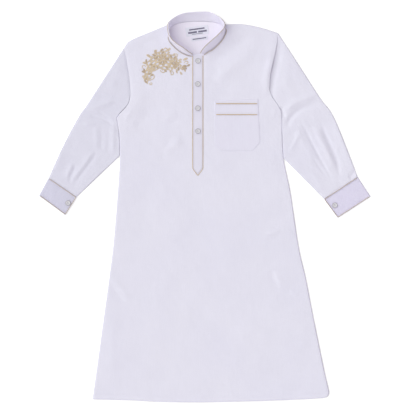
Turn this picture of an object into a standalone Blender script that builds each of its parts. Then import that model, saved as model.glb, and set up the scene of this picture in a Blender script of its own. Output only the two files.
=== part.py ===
"""A child's long robe (thobe), buttoned and laid flat on its back with both sleeves slanting down.

The back panel rests on the surface and the front panel lies on it. Each sleeve is a flattened tube, each
cuff a band wrapped over its own end, and the collar a standing band round the neck. Lengths are in
millimetres: X runs across the garment towards its left sleeve, Y from the hem to the collar, and Z up. The
outlines are measured from the point of the hem below the placket, and the finished pieces are then moved
so that the middle of the garment's footprint is the origin.
"""

import math
from collections import namedtuple

import bmesh
import bpy
import numpy as np
from mathutils import Vector
from mathutils.bvhtree import BVHTree

MM = 0.001

# Driving sizes
FOOTPRINT_MIDDLE = (14.7, 409.9)
WALL = 1.2
GAP = 0.3
BODY_EDGE = 2.6
BODY_EDGE_LEFT_HEM = 3.1
SLEEVE_EDGE = 2.4
SEAM_DIP = 0.8
HEM_DIP = 1.0
DEEPEST_TROUGH = 1.5
UNDERARM_HEIGHT = 596.4
PIPING = 1.3
PIPING_SEAT = 0.45
BAND_THICKNESS = 1.8
PLACKET_LEFT = 10.5
PLACKET_RIGHT = -11.1
PLACKET_TOP = 727.5
PLACKET_SHOULDER = 491.0
PLACKET_POINT = 476.0
BUTTON_RADIUS = 5.7
BUTTON_THICKNESS = 2.2
CUFF_UNDERLAP = 20.0
CUFF_CROWN = 0.8
CUFF_PIPING_START = 2.2
CUFF_PIPING_INSET = 0.6
LABEL_THICKNESS = 1.0
# Height on the neck's sides where the front panel's shoulders begin
NECK_SIDE = 781.0
# The band stands this far outside the neckline, and bows out this much halfway up
NECKLINE_INSET = 0.2
BAND_BOW = 0.6
# Extra room between a sleeve and the body's rolled side edge
SIDE_ROOM = 0.2
# Above the hem, the height at which the front panel has come up from its stitched edge
HEM_TURN = 2.5
# Piping: how far to each side of its middle it feels for cloth, its corners and its longest step
CORD_REACH = 0.9
CORD_CORNER = 2.6
CORD_STEP = 12.5
CORD_ROUNDNESS = 1
BUTTON_SIDES = 14

# How far up the panel the underarm and the armhole's straight run start, as shares
UNDERARM_SHARE, ARMHOLE_SHARE = 0.75, 0.83
# Where the rows close up beside the sleeves, as a share
BESIDE_SHARE = 0.585
# Where the neckline starts and ends across the panel, as shares
NECK_START, NECK_END = 0.29, 0.654
PANEL_SPAN = 700.0
EDGE_TURNS = (0.0, math.radians(45), math.radians(90))
# Shares of the armhole at which both the body and the sleeve have points, so that their seam stays even
HOOK_SHARES = (0, 0.25, 0.5, 0.75, 1)
SEAM_SHARES = tuple(np.linspace(0, 1, 8))
# Where a sleeve's inner edge passes the underarm and then leaves the body's side, as shares
SLEEVE_KNOTS = (0.24, 0.53)

# Outlines as x, y. The side seams run from the hem to the underarm.
SIDE_RIGHT = (
    (-218.2, 6.5),
    (-206.0, 103.7),
    (-195.5, 173.5),
    (-185.2, 250.0),
    (-173.0, 330.0),
    (-167.4, 413.7),
    (-163.6, 482.2),
    (-163.8, 520.0),
    (-165.4, 560.0),
    (-170.9, UNDERARM_HEIGHT),
)
SIDE_LEFT = (
    (272.8, 13.2),
    (275.0, 22.0),
    (266.9, 56.7),
    (253.7, 117.8),
    (239.8, 187.3),
    (225.8, 262.0),
    (211.9, 323.4),
    (196.1, 424.2),
    (191.0, 456.0),
    (179.8, 511.6),
    (177.0, 561.0),
    (176.4, UNDERARM_HEIGHT),
)
HEM = (
    (-218.2, 6.5),
    (-143.0, 4.6),
    (-80.6, 1.3),
    (-4.2, 0.0),
    (100.4, 2.7),
    (193.2, 5.5),
    (260.4, 9.6),
    (272.8, 13.2),
)
# Each armhole is a hollow curve up from the underarm, and then a nearly straight run to the shoulder's tip.
UNDERARM_RIGHT = (
    (-170.9, UNDERARM_HEIGHT),
    (-164.6, 605.2),
    (-155.2, 614.9),
    (-146.2, 627.0),
    (-142.0, 643.0),
)
ARMHOLE_RIGHT = (
    (-142.0, 643.0),
    (-143.0, 667.8),
    (-146.6, 694.5),
    (-151.4, 720.9),
    (-156.2, 742.6),
)
UNDERARM_LEFT = (
    (176.4, UNDERARM_HEIGHT),
    (174.0, 611.0),
    (166.0, 626.0),
    (156.0, 640.0),
    (149.8, 656.0),
)
ARMHOLE_LEFT = (
    (149.8, 656.0),
    (151.6, 686.7),
    (158.1, 716.1),
    (164.9, 748.7),
    (168.0, 775.0),
)
SHOULDER_RIGHT = ((-156.2, 742.6), (-141.8, 759.2), (-100.8, 777.0), (-63.2, 792.5))
SHOULDER_LEFT = ((57.6, 793.2), (94.9, 793.4), (131.0, 786.5), (168.0, 775.0))
BACK_NECK = (
    (-63.2, 792.5),
    (-46.0, 796.6),
    (-27.0, 800.2),
    (-1.0, 801.9),
    (23.0, 800.9),
    (40.0, 798.8),
    (57.6, 793.2),
)

# The collar band from its left front end round the back to its right front end: the seam on the neckline,
# the free edge above it, and how far that edge rises
Band = namedtuple("Band", "x y top_x top_y rise")
COLLAR = (
    Band(10.9, 730.8, 4.6, 732.1, 5.0),
    Band(19.5, 736.3, 10.3, 740.7, 13.0),
    Band(30.0, 742.3, 16.8, 747.6, 18.5),
    Band(44.1, 755.4, 28.5, 758.3, 18.0),
    Band(53.6, 769.3, 43.2, 771.3, 21.3),
    Band(57.1, 781.5, 52.6, 782.8, 23.4),
    Band(51.8, 791.7, 54.6, 795.0, 23.6),
    Band(39.9, 796.9, 42.4, 808.5, 21.0),
    Band(23.1, 799.2, 23.9, 817.8, 15.2),
    Band(-1.0, 800.2, -2.1, 818.4, 15.0),
    Band(-27.3, 798.5, -33.2, 814.6, 17.0),
    Band(-46.2, 794.6, -52.5, 804.0, 21.2),
    Band(-58.2, 786.5, -61.7, 793.4, 22.9),
    Band(-61.4, 774.9, -60.9, 777.0, 23.9),
    Band(-58.4, 759.4, -55.6, 761.9, 23.7),
    Band(-48.3, 747.0, -43.6, 751.0, 23.2),
    Band(-36.3, 737.1, -30.6, 742.6, 22.6),
    Band(-24.2, 730.9, -20.0, 735.4, 13.0),
    Band(-12.8, 728.5, -11.6, 729.8, 5.0),
)

# Each sleeve: its outer edge between shoulder and cuff, the height at which its inner edge leaves the body's
# side, and the cuff's four corners, from the seam's outer corner
Sleeve = namedtuple("Sleeve", "outer leaves_body seam_outer seam_inner end_inner end_outer")
SLEEVES = {
    "right": Sleeve(
        ((-228.7, 626.9), (-247.6, 601.0), (-282.9, 537.6)),
        516.0,
        (-311.4, 469.8),
        (-254.7, 431.1),
        (-278.3, 394.6),
        (-331.4, 434.1),
    ),
    "left": Sleeve(
        ((207.9, 714.0), (256.0, 638.8), (282.7, 600.0), (320.5, 512.0)),
        511.6,
        (333.5, 471.9),
        (264.6, 426.9),
        (293.4, 388.5),
        (360.8, 432.0),
    ),
}

# Soft folds: a ridge, or a trough where the height is negative, from one end to the other
Fold = namedtuple("Fold", "x1 y1 x2 y2 half_width height")
BODY_FOLDS = (
    Fold(166, 760, 153, 690, 11, 2.4),
    Fold(153, 690, 158, 630, 10, 1.6),
    Fold(142, 745, 138, 690, 14, 0.8),
    Fold(42, 722, 112, 764, 13, -1.2),
    Fold(70, 700, 120, 735, 14, 0.9),
    Fold(-122, 640, -100, 560, 14, -1.0),
    Fold(-135, 600, -120, 530, 13, 0.9),
    Fold(-46, 606, -72, 588, 9, 1.2),
    Fold(-28, 556, -82, 515, 10, 1.5),
    Fold(-60, 556, -78, 500, 12, -1.1),
    Fold(-179, 262, -142, 212, 10, -1.2),
    Fold(-170, 285, -128, 232, 10, 1.3),
    Fold(140, 358, 176, 352, 9, 1.2),
    Fold(150, 280, 196, 226, 14, 1.2),
    Fold(130, 262, 176, 206, 14, -1.0),
    Fold(110, 150, 262, 40, 32, -1.2),
    Fold(60, 190, 225, 95, 34, 1.2),
    Fold(-196, 200, -206, 30, 14, -0.9),
    Fold(-165, 190, -178, 20, 16, 1.1),
    Fold(-60, 330, -95, 90, 45, 0.9),
    Fold(60, 430, 72, 200, 45, 0.8),
)
SLEEVE_FOLDS = {
    "right": (
        Fold(-208, 608, -246, 597, 7, -1.5),
        Fold(-227, 628, -188, 617, 9, 2.3),
        Fold(-208, 526, -264, 449, 7, -1.5),
        Fold(-256, 494, -271, 456, 5, -1.1),
        Fold(-178, 590, -184, 520, 10, 1.9),
        Fold(-237, 514, -264, 463, 7, 1.8),
        Fold(-160, 700, -190, 640, 12, 1.0),
        Fold(-268, 560, -292, 490, 9, 1.2),
    ),
    "left": (
        Fold(253, 629, 212, 611, 8, -1.6),
        Fold(212, 611, 187, 572, 8, -1.5),
        Fold(180, 634, 246, 642, 9, 2.5),
        Fold(213, 590, 252, 527, 6, -1.3),
        Fold(252, 527, 294, 465, 6, -1.3),
        Fold(256, 586, 283, 534, 9, -1.6),
        Fold(283, 534, 299, 473, 8, -1.6),
        Fold(233, 575, 286, 483, 8, 2.0),
        Fold(281, 596, 317, 491, 9, 2.0),
        Fold(199, 560, 252, 477, 9, 1.5),
        Fold(200, 690, 215, 655, 12, 1.2),
    ),
}

# The chest pocket on the left front, as x, y, with cut corners below, and its two lines of piping
POCKET_TOP = ((34.0, 631.5), (131.5, 636.5))
POCKET_LOW = ((35.5, 541.0), (49.5, 527.0), (114.5, 527.0), (130.5, 545.0))
POCKET_PIPING_LEVELS = (626.5, 603.5)
POCKET_PIPING_INSET = 3.4

PLACKET_BUTTONS = ((-0.2, 716.5), (-0.8, 667.8), (-0.8, 617.0), (-0.4, 568.7))
CUFF_BUTTONS = {"right": (-273.2, 417.9), "left": (287.2, 413.2)}

Label = namedtuple("Label", "x y width height tilt")
LABELS = {
    "label_main": Label(-1.9, 779.8, 48.0, 19.0, 4.0),
    "label_size": Label(3.4, 763.6, 35.0, 8.4, 4.0),
}

# Colours as linear RGB, with roughness
CLOTH = ((0.76, 0.75, 0.85), 0.85)
CLOTH_BAND = ((0.73, 0.71, 0.82), 0.85)
GOLD_THREAD = ((0.42, 0.31, 0.22), 0.55)
PEARL = ((0.80, 0.76, 0.72), 0.35)
LABEL_WEAVE = ((0.82, 0.82, 0.84), 0.8)


# Lines in plan
def smooth_line(points, steps=14):
    """A smooth curve through the points, as short straight steps."""
    given = np.array(points, float)
    padded = np.vstack([2 * given[0] - given[1], given, 2 * given[-1] - given[-2]])
    t = np.linspace(0, 1, steps, endpoint=False)[:, None]
    pieces = []
    for a, b, c, d in zip(padded[:-3], padded[1:-2], padded[2:-1], padded[3:]):
        cubic = 3 * b - a - 3 * c + d
        square = 2 * a - 5 * b + 4 * c - d
        pieces.append(0.5 * (2 * b + (c - a) * t + square * t**2 + cubic * t**3))
    return np.vstack([*pieces, given[-1:]])


def run_lengths(line):
    steps = np.linalg.norm(np.diff(line[:, :2], axis=0), axis=1)
    return np.concatenate([[0.0], np.cumsum(steps)])


def moved_aside(line, distance):
    """The line moved in plan to the right of its own direction."""
    along = np.gradient(line[:, :2], axis=0)
    along /= np.linalg.norm(along, axis=1)[:, None]
    moved = line.copy()
    moved[:, 0] += distance * along[:, 1]
    moved[:, 1] -= distance * along[:, 0]
    return moved


class Border:
    """One border of a panel: pieces joined end to end, each read by its share of its own length."""

    def __init__(self, pieces, knots):
        shares = []
        for piece, start, end in zip(pieces, knots[:-1], knots[1:]):
            run = run_lengths(piece)
            shares.append(start + (end - start) * run / run[-1])
        self.shares = np.concatenate(shares)
        self.points = np.vstack(pieces)

    def at(self, share):
        axes = [np.interp(share, self.shares, self.points[:, k]) for k in (0, 1)]
        return np.stack(axes, axis=-1)


def panel_plan(low, high, first, last, u, v):
    """Plan points of a four-sided panel at the shares u across and v up."""
    across, up = u[..., None], v[..., None]
    ruled = (1 - up) * low.at(u) + up * high.at(u) + (1 - across) * first.at(v) + across * last.at(v)
    corners = (1 - up) * ((1 - across) * low.at(0.0) + across * low.at(1.0))
    corners = corners + up * ((1 - across) * high.at(0.0) + across * high.at(1.0))
    return ruled - corners


# Heights
def fold_height(folds, plan):
    """Height that the folds add at each plan point, with troughs no deeper than the cloth allows."""
    total = np.zeros(plan.shape[:-1])
    for fold in folds:
        start = np.array((fold.x1, fold.y1), float)
        way = np.array((fold.x2, fold.y2), float) - start
        length = np.linalg.norm(way)
        along = (plan - start) @ way / length
        aside = (plan[..., 0] - start[0]) * way[1] - (plan[..., 1] - start[1]) * way[0]
        past_end = np.maximum(np.maximum(-along, along - length), 0)
        away = np.hypot(aside / length, past_end)
        total += fold.height * np.exp(-((away / fold.half_width) ** 2))
    sunk = DEEPEST_TROUGH * np.tanh(np.minimum(total, 0) / DEEPEST_TROUGH)
    return np.where(total < 0, sunk, total)


def smoothstep(value):
    t = np.clip(value, 0, 1)
    return t * t * (3 - 2 * t)


# Solids
def strip_faces(rows, columns, offset, flip):
    faces = []
    for row in range(rows - 1):
        for k in range(columns - 1):
            corner = offset + row * columns + k
            face = (corner, corner + 1, corner + columns + 1, corner + columns)
            faces.append(face[::-1] if flip else face)
    return faces


def sheet_solid(upper, lower):
    """Points and faces of the cloth between two grids of points with the same rows and columns."""
    rows, columns = upper.shape[:2]
    under = rows * columns
    faces = strip_faces(rows, columns, 0, False) + strip_faces(rows, columns, under, True)
    rim = [row * columns for row in range(rows)]
    rim += [(rows - 1) * columns + k for k in range(1, columns)]
    rim += [row * columns + columns - 1 for row in range(rows - 2, -1, -1)]
    rim += list(range(columns - 2, 0, -1))
    for a, b in zip(rim, rim[1:] + rim[:1]):
        faces.append((a, b, under + b, under + a))
    return np.concatenate([upper.reshape(-1, 3), lower.reshape(-1, 3)]), faces


def tube_solid(outer, inner):
    """Points and faces of an open tube wall between two sets of rings with the same points."""
    rows, count = outer.shape[:2]
    inside = rows * count
    faces = []
    for row in range(rows - 1):
        for k in range(count):
            n = (k + 1) % count
            low, high = row * count, (row + 1) * count
            faces.append((low + k, low + n, high + n, high + k))
            faces.append((inside + high + k, inside + high + n, inside + low + n, inside + low + k))
    for ring in (0, (rows - 1) * count):
        for k in range(count):
            n = (k + 1) % count
            faces.append((ring + k, ring + n, inside + ring + n, inside + ring + k))
    return np.concatenate([outer.reshape(-1, 3), inner.reshape(-1, 3)]), faces


def material_of(name, look):
    colour, roughness = look
    material = bpy.data.materials.new(name)
    material.use_nodes = True
    shader = material.node_tree.nodes["Principled BSDF"]
    shader.inputs["Base Color"].default_value = (*colour, 1.0)
    shader.inputs["Roughness"].default_value = roughness
    shader.inputs["Metallic"].default_value = 0.0
    return material


def placed(points):
    """Millimetre outline points as scene points in metres, about the footprint's middle."""
    return (np.asarray(points, float) - (*FOOTPRINT_MIDDLE, 0.0)) * MM


def add_object(name, data, look):
    data.materials.append(material_of(name, look))
    thing = bpy.data.objects.new(name, data)
    bpy.context.scene.collection.objects.link(thing)


def add_solid(name, points, faces, look):
    """Adds a closed mesh with its faces outward, and gives a tree for resting other pieces on it."""
    mesh = bpy.data.meshes.new(name)
    mesh.from_pydata(placed(points).tolist(), [], faces)
    shell = bmesh.new()
    shell.from_mesh(mesh)
    bmesh.ops.recalc_face_normals(shell, faces=shell.faces)
    if shell.calc_volume(signed=True) < 0:
        bmesh.ops.reverse_faces(shell, faces=shell.faces)
    shell.to_mesh(mesh)
    shell.free()
    mesh.shade_smooth()
    mesh.set_sharp_from_angle(angle=math.radians(40))
    add_object(name, mesh, look)
    return BVHTree.FromPolygons([Vector(p) for p in points], faces)


def add_piping(name, path):
    """Adds a round gold cord along the path, with closed ends."""
    curve = bpy.data.curves.new(name, "CURVE")
    curve.dimensions = "3D"
    curve.bevel_depth = PIPING * MM
    curve.bevel_resolution = CORD_ROUNDNESS
    curve.use_fill_caps = True
    spline = curve.splines.new("POLY")
    spline.points.add(len(path) - 1)
    for point, place in zip(spline.points, placed(path)):
        point.co = (*place, 1.0)
    spline.use_smooth = True
    add_object(name, curve, GOLD_THREAD)


def resting_height(trees, x, y, reach=0.0):
    """Height of the highest cloth below a disc about x, y, or of the surface that the garment lies on."""
    spots = [(x, y)]
    if reach:
        turns = np.arange(8) * math.tau / 8
        spots += [(x + reach * math.cos(turn), y + reach * math.sin(turn)) for turn in turns]
    highest = 0.0
    for spot_x, spot_y in spots:
        for tree in trees:
            hit = tree.ray_cast(Vector((spot_x, spot_y, 100.0)), Vector((0.0, 0.0, -1.0)))[0]
            if hit is not None:
                highest = max(highest, hit.z)
    return highest


def laid_on(trees, plan, lift, reach=0.0):
    """The plan points raised to lie on the trees, lift above them."""
    spots = plan.reshape(-1, 2)
    heights = [resting_height(trees, x, y, reach) + lift for x, y in spots]
    return np.column_stack([spots, heights]).reshape(*plan.shape[:-1], 3)


def rounded_path(corners, radius, spacing):
    """A path along straight runs with round corners, with a point at least every spacing."""
    corners = np.array(corners, float)
    path = [corners[0]]
    for before, corner, after in zip(corners[:-2], corners[1:-1], corners[2:]):
        back = (before - corner) / np.linalg.norm(before - corner)
        on = (after - corner) / np.linalg.norm(after - corner)
        for t in (0.0, 0.25, 0.5, 0.75, 1.0):
            path.append(corner + radius * ((1 - t) ** 2 * back + t**2 * on))
    path.append(corners[-1])
    dense = [path[0]]
    for a, b in zip(path[:-1], path[1:]):
        count = max(1, math.ceil(np.linalg.norm(b - a) / spacing))
        dense += [a + (b - a) * k / count for k in range(1, count + 1)]
    return np.array(dense)


# Borders that pieces share
side_right, side_left = smooth_line(SIDE_RIGHT), smooth_line(SIDE_LEFT)
underarm_right, underarm_left = smooth_line(UNDERARM_RIGHT), smooth_line(UNDERARM_LEFT)
armhole_right, armhole_left = smooth_line(ARMHOLE_RIGHT), smooth_line(ARMHOLE_LEFT)
hem = Border([smooth_line(HEM)], (0, 1))
side_knots = (0, UNDERARM_SHARE, ARMHOLE_SHARE, 1)
right_border = Border([side_right, underarm_right, armhole_right], side_knots)
left_border = Border([side_left, underarm_left, armhole_left], side_knots)
band_line = smooth_line([(b.x, b.y, b.top_x, b.top_y, b.rise) for b in COLLAR], 3)


def front_neck():
    """The front neckline, just inside the band that stands on it, from the right shoulder to the left."""
    inside = moved_aside(band_line[:, :2], -(BAND_THICKNESS / 2 + NECKLINE_INSET))
    behind = np.flatnonzero(inside[:, 1] > NECK_SIDE)
    left, right = inside[: behind[0] + 1], inside[behind[-1] + 1 :]
    return np.vstack([SHOULDER_RIGHT[-1:], right, left, SHOULDER_LEFT[:1]])


def body_top(neck):
    pieces = [smooth_line(SHOULDER_RIGHT), neck, smooth_line(SHOULDER_LEFT)]
    return Border(pieces, (0, NECK_START, NECK_END, 1))


def edge_radius(u, v):
    """The radius of the rounded side edges, which are fuller towards the left end of the hem."""
    return BODY_EDGE + (BODY_EDGE_LEFT_HEM - BODY_EDGE) * smoothstep(1.4 * u - 0.4) * smoothstep(1 - v / 0.6)


def body_panel(neck, columns, skirt_rows, top_side):
    """Outer and inner points of the front panel, or of the back panel when top_side is False."""
    right_shoulder, neckline, left_shoulder = columns
    inner_shares = [np.linspace(0, NECK_START, right_shoulder + 1)[1:]]
    inner_shares.append(np.linspace(NECK_START, NECK_END, neckline + 1)[1:])
    inner_shares.append(np.linspace(NECK_END, 1, left_shoulder + 1)[1:-1])
    middle = np.concatenate(inner_shares)
    levels = np.concatenate([
        [0, HEM_TURN / PANEL_SPAN],
        np.linspace(0, BESIDE_SHARE, skirt_rows + 1)[1:],
        np.linspace(BESIDE_SHARE, UNDERARM_SHARE, 9)[1:],
        UNDERARM_SHARE + (ARMHOLE_SHARE - UNDERARM_SHARE) * np.array(HOOK_SHARES[1:]),
        ARMHOLE_SHARE + (1 - ARMHOLE_SHARE) * np.array(SEAM_SHARES[1:-1]),
    ])
    closed_side = 1 - smoothstep((levels - UNDERARM_SHARE) / 0.02)
    turns = np.concatenate([EDGE_TURNS, np.full(len(middle), EDGE_TURNS[2]), EDGE_TURNS[::-1]])
    rises = np.concatenate([np.full(len(levels), EDGE_TURNS[2]), EDGE_TURNS[::-1]])
    levels = np.concatenate([levels, np.ones(3)])
    closed_side = np.concatenate([closed_side, np.zeros(3)])[:, None]
    high = body_top(neck)
    shares = np.concatenate([np.zeros(3), middle, np.ones(3)])[None, :]
    on_neck = (shares > NECK_START - 1e-6) & (shares < NECK_END + 1e-6)
    closed_top = np.where(on_neck, 0.0, 1.0)
    width = np.linalg.norm(left_border.at(levels) - right_border.at(levels), axis=1)[:, None]
    radius = edge_radius(shares, levels[:, None])
    side_turn, top_turn = turns[None, :], rises[:, None]
    at_right, at_left = shares < 0.001, shares > 0.999
    at_top = levels[:, None] > 0.9999

    def grid(curve_radius):
        """Plan and fullness for the surface whose edges turn with this radius."""
        inset = radius - np.cos(side_turn) * (closed_side * curve_radius + (1 - closed_side) * radius)
        u = np.where(at_right, inset / width, np.where(at_left, 1 - inset / width, shares))
        drop = radius - np.cos(top_turn) * (closed_top * curve_radius + (1 - closed_top) * radius)
        v = np.where(at_top, 1 - drop / PANEL_SPAN, levels[:, None])
        plan = panel_plan(hem, high, right_border, left_border, u, v)
        full_side = closed_side * np.sin(side_turn) + 1 - closed_side
        full_top = closed_top * np.sin(top_turn) + 1 - closed_top
        return plan, full_side * full_top

    outer_plan, full = grid(radius)
    inner_plan, _ = grid(radius - WALL)
    dip = SEAM_DIP * (1 - closed_side) * (1 - np.sin(side_turn)) + HEM_DIP * (levels[:, None] < 1e-6)
    half_gap = GAP / 2
    if top_side:
        folds = (fold_height(BODY_FOLDS, outer_plan) - dip) * full
        outer_z = radius + half_gap + (radius - half_gap) * full + folds
        inner_z = radius + half_gap + (radius - WALL - half_gap) * full + folds
    else:
        outer_z = (radius - half_gap) * (1 - full)
        inner_z = radius - half_gap - (radius - WALL - half_gap) * full
    return np.dstack([outer_plan, outer_z]), np.dstack([inner_plan, inner_z])


def sleeve_tube(name, lines, outward, folds):
    """Outer and inner rings of a sleeve, from the armhole to the cuff's seam."""
    cut = SLEEVES[name]
    side_line, underarm_line, armhole_line = lines
    whole = moved_aside(np.vstack([underarm_line, armhole_line[1:]]), outward * GAP)
    underarm = whole[: len(underarm_line)][::-1]
    armhole = whole[len(underarm_line) - 1 :][::-1]
    beside = moved_aside(side_line, outward * (GAP + SIDE_ROOM))[::-1]
    beside = beside[beside[:, 1] > cut.leaves_body]
    beside[0] = underarm[-1]
    seam_outer, seam_inner = np.array(cut.seam_outer), np.array(cut.seam_inner)
    depth = np.array(cut.end_outer) - seam_outer
    clear = -GAP * depth / np.linalg.norm(depth)
    seam_outer, seam_inner = seam_outer + clear, seam_inner + clear
    halfway = (beside[-1] + seam_inner) / 2
    low = Border([armhole], (0, 1))
    high = Border([np.array([seam_outer, seam_inner])], (0, 1))
    first = Border([smooth_line([armhole[0], *cut.outer, seam_outer])], (0, 1))
    free = smooth_line([beside[-1], halfway, seam_inner])
    last = Border([underarm, beside, free], (0, *SLEEVE_KNOTS, 1))
    rows = np.concatenate([
        SLEEVE_KNOTS[0] * np.array(HOOK_SHARES),
        np.linspace(*SLEEVE_KNOTS, 6)[1:],
        np.linspace(SLEEVE_KNOTS[1], 1, 9)[1:-1],
        [0.99, 1],
    ])[:, None]
    middle = SEAM_SHARES[1:-1]
    shares = np.concatenate([np.zeros(3), middle, np.ones(3)])
    turns = np.concatenate([EDGE_TURNS, np.full(len(middle), EDGE_TURNS[2]), EDGE_TURNS[::-1]])
    width = np.linalg.norm(last.at(rows[:, 0]) - first.at(rows[:, 0]), axis=1)[:, None]
    at_end = (rows < 1e-6) | (rows > 1 - 1e-6)

    def ring(curve_radius):
        inset = SLEEVE_EDGE - np.cos(turns)[None, :] * curve_radius
        at_first, at_last = shares[None, :] < 0.001, shares[None, :] > 0.999
        u = np.where(at_first, inset / width, np.where(at_last, 1 - inset / width, shares[None, :]))
        plan = panel_plan(low, high, first, last, u, np.broadcast_to(rows, u.shape))
        full = np.broadcast_to(np.sin(turns)[None, :], u.shape)
        lift = fold_height(folds, plan) * full - SEAM_DIP * at_end * full
        top = np.dstack([plan, SLEEVE_EDGE + curve_radius * full + lift])
        bottom = np.dstack([plan, SLEEVE_EDGE - curve_radius * full])
        return np.concatenate([top, bottom[:, -2:0:-1]], axis=1)

    return ring(SLEEVE_EDGE), ring(SLEEVE_EDGE - WALL)


def cuff_section():
    """The cuff's wrap as (share of the width, offset, height, crown) along the middle of its cloth."""
    low = WALL / 2
    mid = low + WALL + GAP
    top = mid + WALL + GAP
    section = [(1.0, 0.0, top, 0.0)]
    section += [(share, 0.0, top, math.sin(math.pi * share)) for share in (0.8, 0.6, 0.4, 0.2)]
    fold_radius = (top - low) / 2
    for turn in np.linspace(0, math.pi, 7):
        offset = fold_radius + WALL / 2 - fold_radius * math.sin(turn)
        section.append((0.0, offset, low + fold_radius * (1 + math.cos(turn)), 0.0))
    section += [(0.4, 0.0, low, 0.0), (0.7, 0.0, low, 0.0)]
    fold_radius = (mid - low) / 2
    for turn in np.linspace(0, math.pi, 5):
        offset = -(fold_radius + WALL / 2) + fold_radius * math.sin(turn)
        section.append((1.0, offset, low + fold_radius * (1 - math.cos(turn)), 0.0))
    section.append((1.0, -CUFF_UNDERLAP / 2, mid, 0.0))
    section.append((1.0, -CUFF_UNDERLAP, mid, 0.0))
    return section


def cuff_sheet(cut):
    """Outer and inner points of a cuff's cloth, a row for each step from its seam to its end."""
    outer_rows, inner_rows = [], []
    for depth in np.linspace(0, 1, 5):
        outer = np.array(cut.seam_outer) * (1 - depth) + np.array(cut.end_outer) * depth
        inner = np.array(cut.seam_inner) * (1 - depth) + np.array(cut.end_inner) * depth
        width = np.linalg.norm(inner - outer)
        across = np.array([(share * width + offset, z + CUFF_CROWN * crown)
                           for share, offset, z, crown in cuff_section()])
        way = np.gradient(across, axis=0)
        way /= np.linalg.norm(way, axis=1)[:, None]
        normal = np.column_stack([way[:, 1], -way[:, 0]]) * WALL / 2
        for rows, side in ((outer_rows, across - normal), (inner_rows, across + normal)):
            plan = outer + side[:, :1] * (inner - outer) / width
            rows.append(np.column_stack([plan, np.maximum(side[:, 1], 0.0)]))
    return np.array(outer_rows), np.array(inner_rows)


def strip_plan(low, high, rows):
    """Plan grid between two lines, each given by a point for every column."""
    up = np.linspace(0, 1, rows)[:, None, None]
    return np.array(low, float) * (1 - up) + np.array(high, float) * up


def add_patch(name, plan, trees, look, thickness=WALL):
    """Adds a flat piece of cloth lying on the trees."""
    lower = laid_on(trees, plan, GAP)
    upper = lower + (0, 0, thickness)
    return add_solid(name, *sheet_solid(upper, lower), look)


def add_button(name, x, y, trees):
    """Adds a round button with a raised rim, lying on the trees."""
    rest = resting_height(trees, x, y, BUTTON_RADIUS * 0.8) + GAP
    profile = (
        (0.0, 0.0),
        (BUTTON_RADIUS * 0.75, 0.0),
        (BUTTON_RADIUS, 0.6),
        (BUTTON_RADIUS, BUTTON_THICKNESS - 0.5),
        (BUTTON_RADIUS * 0.88, BUTTON_THICKNESS),
        (BUTTON_RADIUS * 0.68, BUTTON_THICKNESS - 0.5),
        (0.0, BUTTON_THICKNESS - 0.6),
    )
    sides = BUTTON_SIDES
    points = [(x, y, rest + profile[0][1])]
    for radius, height in profile[1:-1]:
        for k in range(sides):
            turn = math.tau * k / sides
            points.append((x + radius * math.cos(turn), y + radius * math.sin(turn), rest + height))
    points.append((x, y, rest + profile[-1][1]))
    faces = []
    rings = len(profile) - 2
    for k in range(sides):
        n = (k + 1) % sides
        faces.append((0, 1 + n, 1 + k))
        for ring in range(rings - 1):
            low, high = 1 + ring * sides, 1 + (ring + 1) * sides
            faces.append((low + k, low + n, high + n, high + k))
        last = 1 + (rings - 1) * sides
        faces.append((last + k, last + n, len(points) - 1))
    add_solid(name, points, faces, PEARL)


# Body and sleeves
def build_body():
    front = body_panel(front_neck(), (5, 14, 5), 13, True)
    back = body_panel(smooth_line(BACK_NECK), (1, 4, 1), 13, False)
    front_tree = add_solid("body_front", *sheet_solid(*front), CLOTH)
    back_tree = add_solid("body_back", *sheet_solid(*back), CLOTH)
    return front_tree, back_tree


def build_sleeves():
    sides = {
        "right": ((side_right, underarm_right, armhole_right), -1),
        "left": ((side_left, underarm_left, armhole_left), 1),
    }
    for name, (lines, outward) in sides.items():
        rings = sleeve_tube(name, lines, outward, SLEEVE_FOLDS[name])
        add_solid(f"sleeve_{name}", *tube_solid(*rings), CLOTH)


def build_cuffs():
    for name, cut in SLEEVES.items():
        tree = add_solid(f"cuff_{name}", *sheet_solid(*cuff_sheet(cut)), CLOTH_BAND)
        corners = [np.array(c) for c in (cut.seam_outer, cut.seam_inner, cut.end_inner, cut.end_outer)]
        across = (corners[1] - corners[0]) / np.linalg.norm(corners[1] - corners[0])
        depth = (corners[3] - corners[0]) / np.linalg.norm(corners[3] - corners[0])
        path = [
            corners[0] + across * CUFF_PIPING_START + depth * PIPING,
            corners[1] - across * CUFF_PIPING_INSET + depth * PIPING,
            corners[2] - across * CUFF_PIPING_INSET - depth * PIPING,
            corners[3] + across * CUFF_PIPING_START - depth * PIPING,
        ]
        plan = rounded_path(path, CORD_CORNER, CORD_STEP)
        add_piping(f"cuff_piping_{name}", laid_on([tree], plan, GAP + PIPING, CORD_REACH))
        add_button(f"button_cuff_{name}", *CUFF_BUTTONS[name], [tree])


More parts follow.
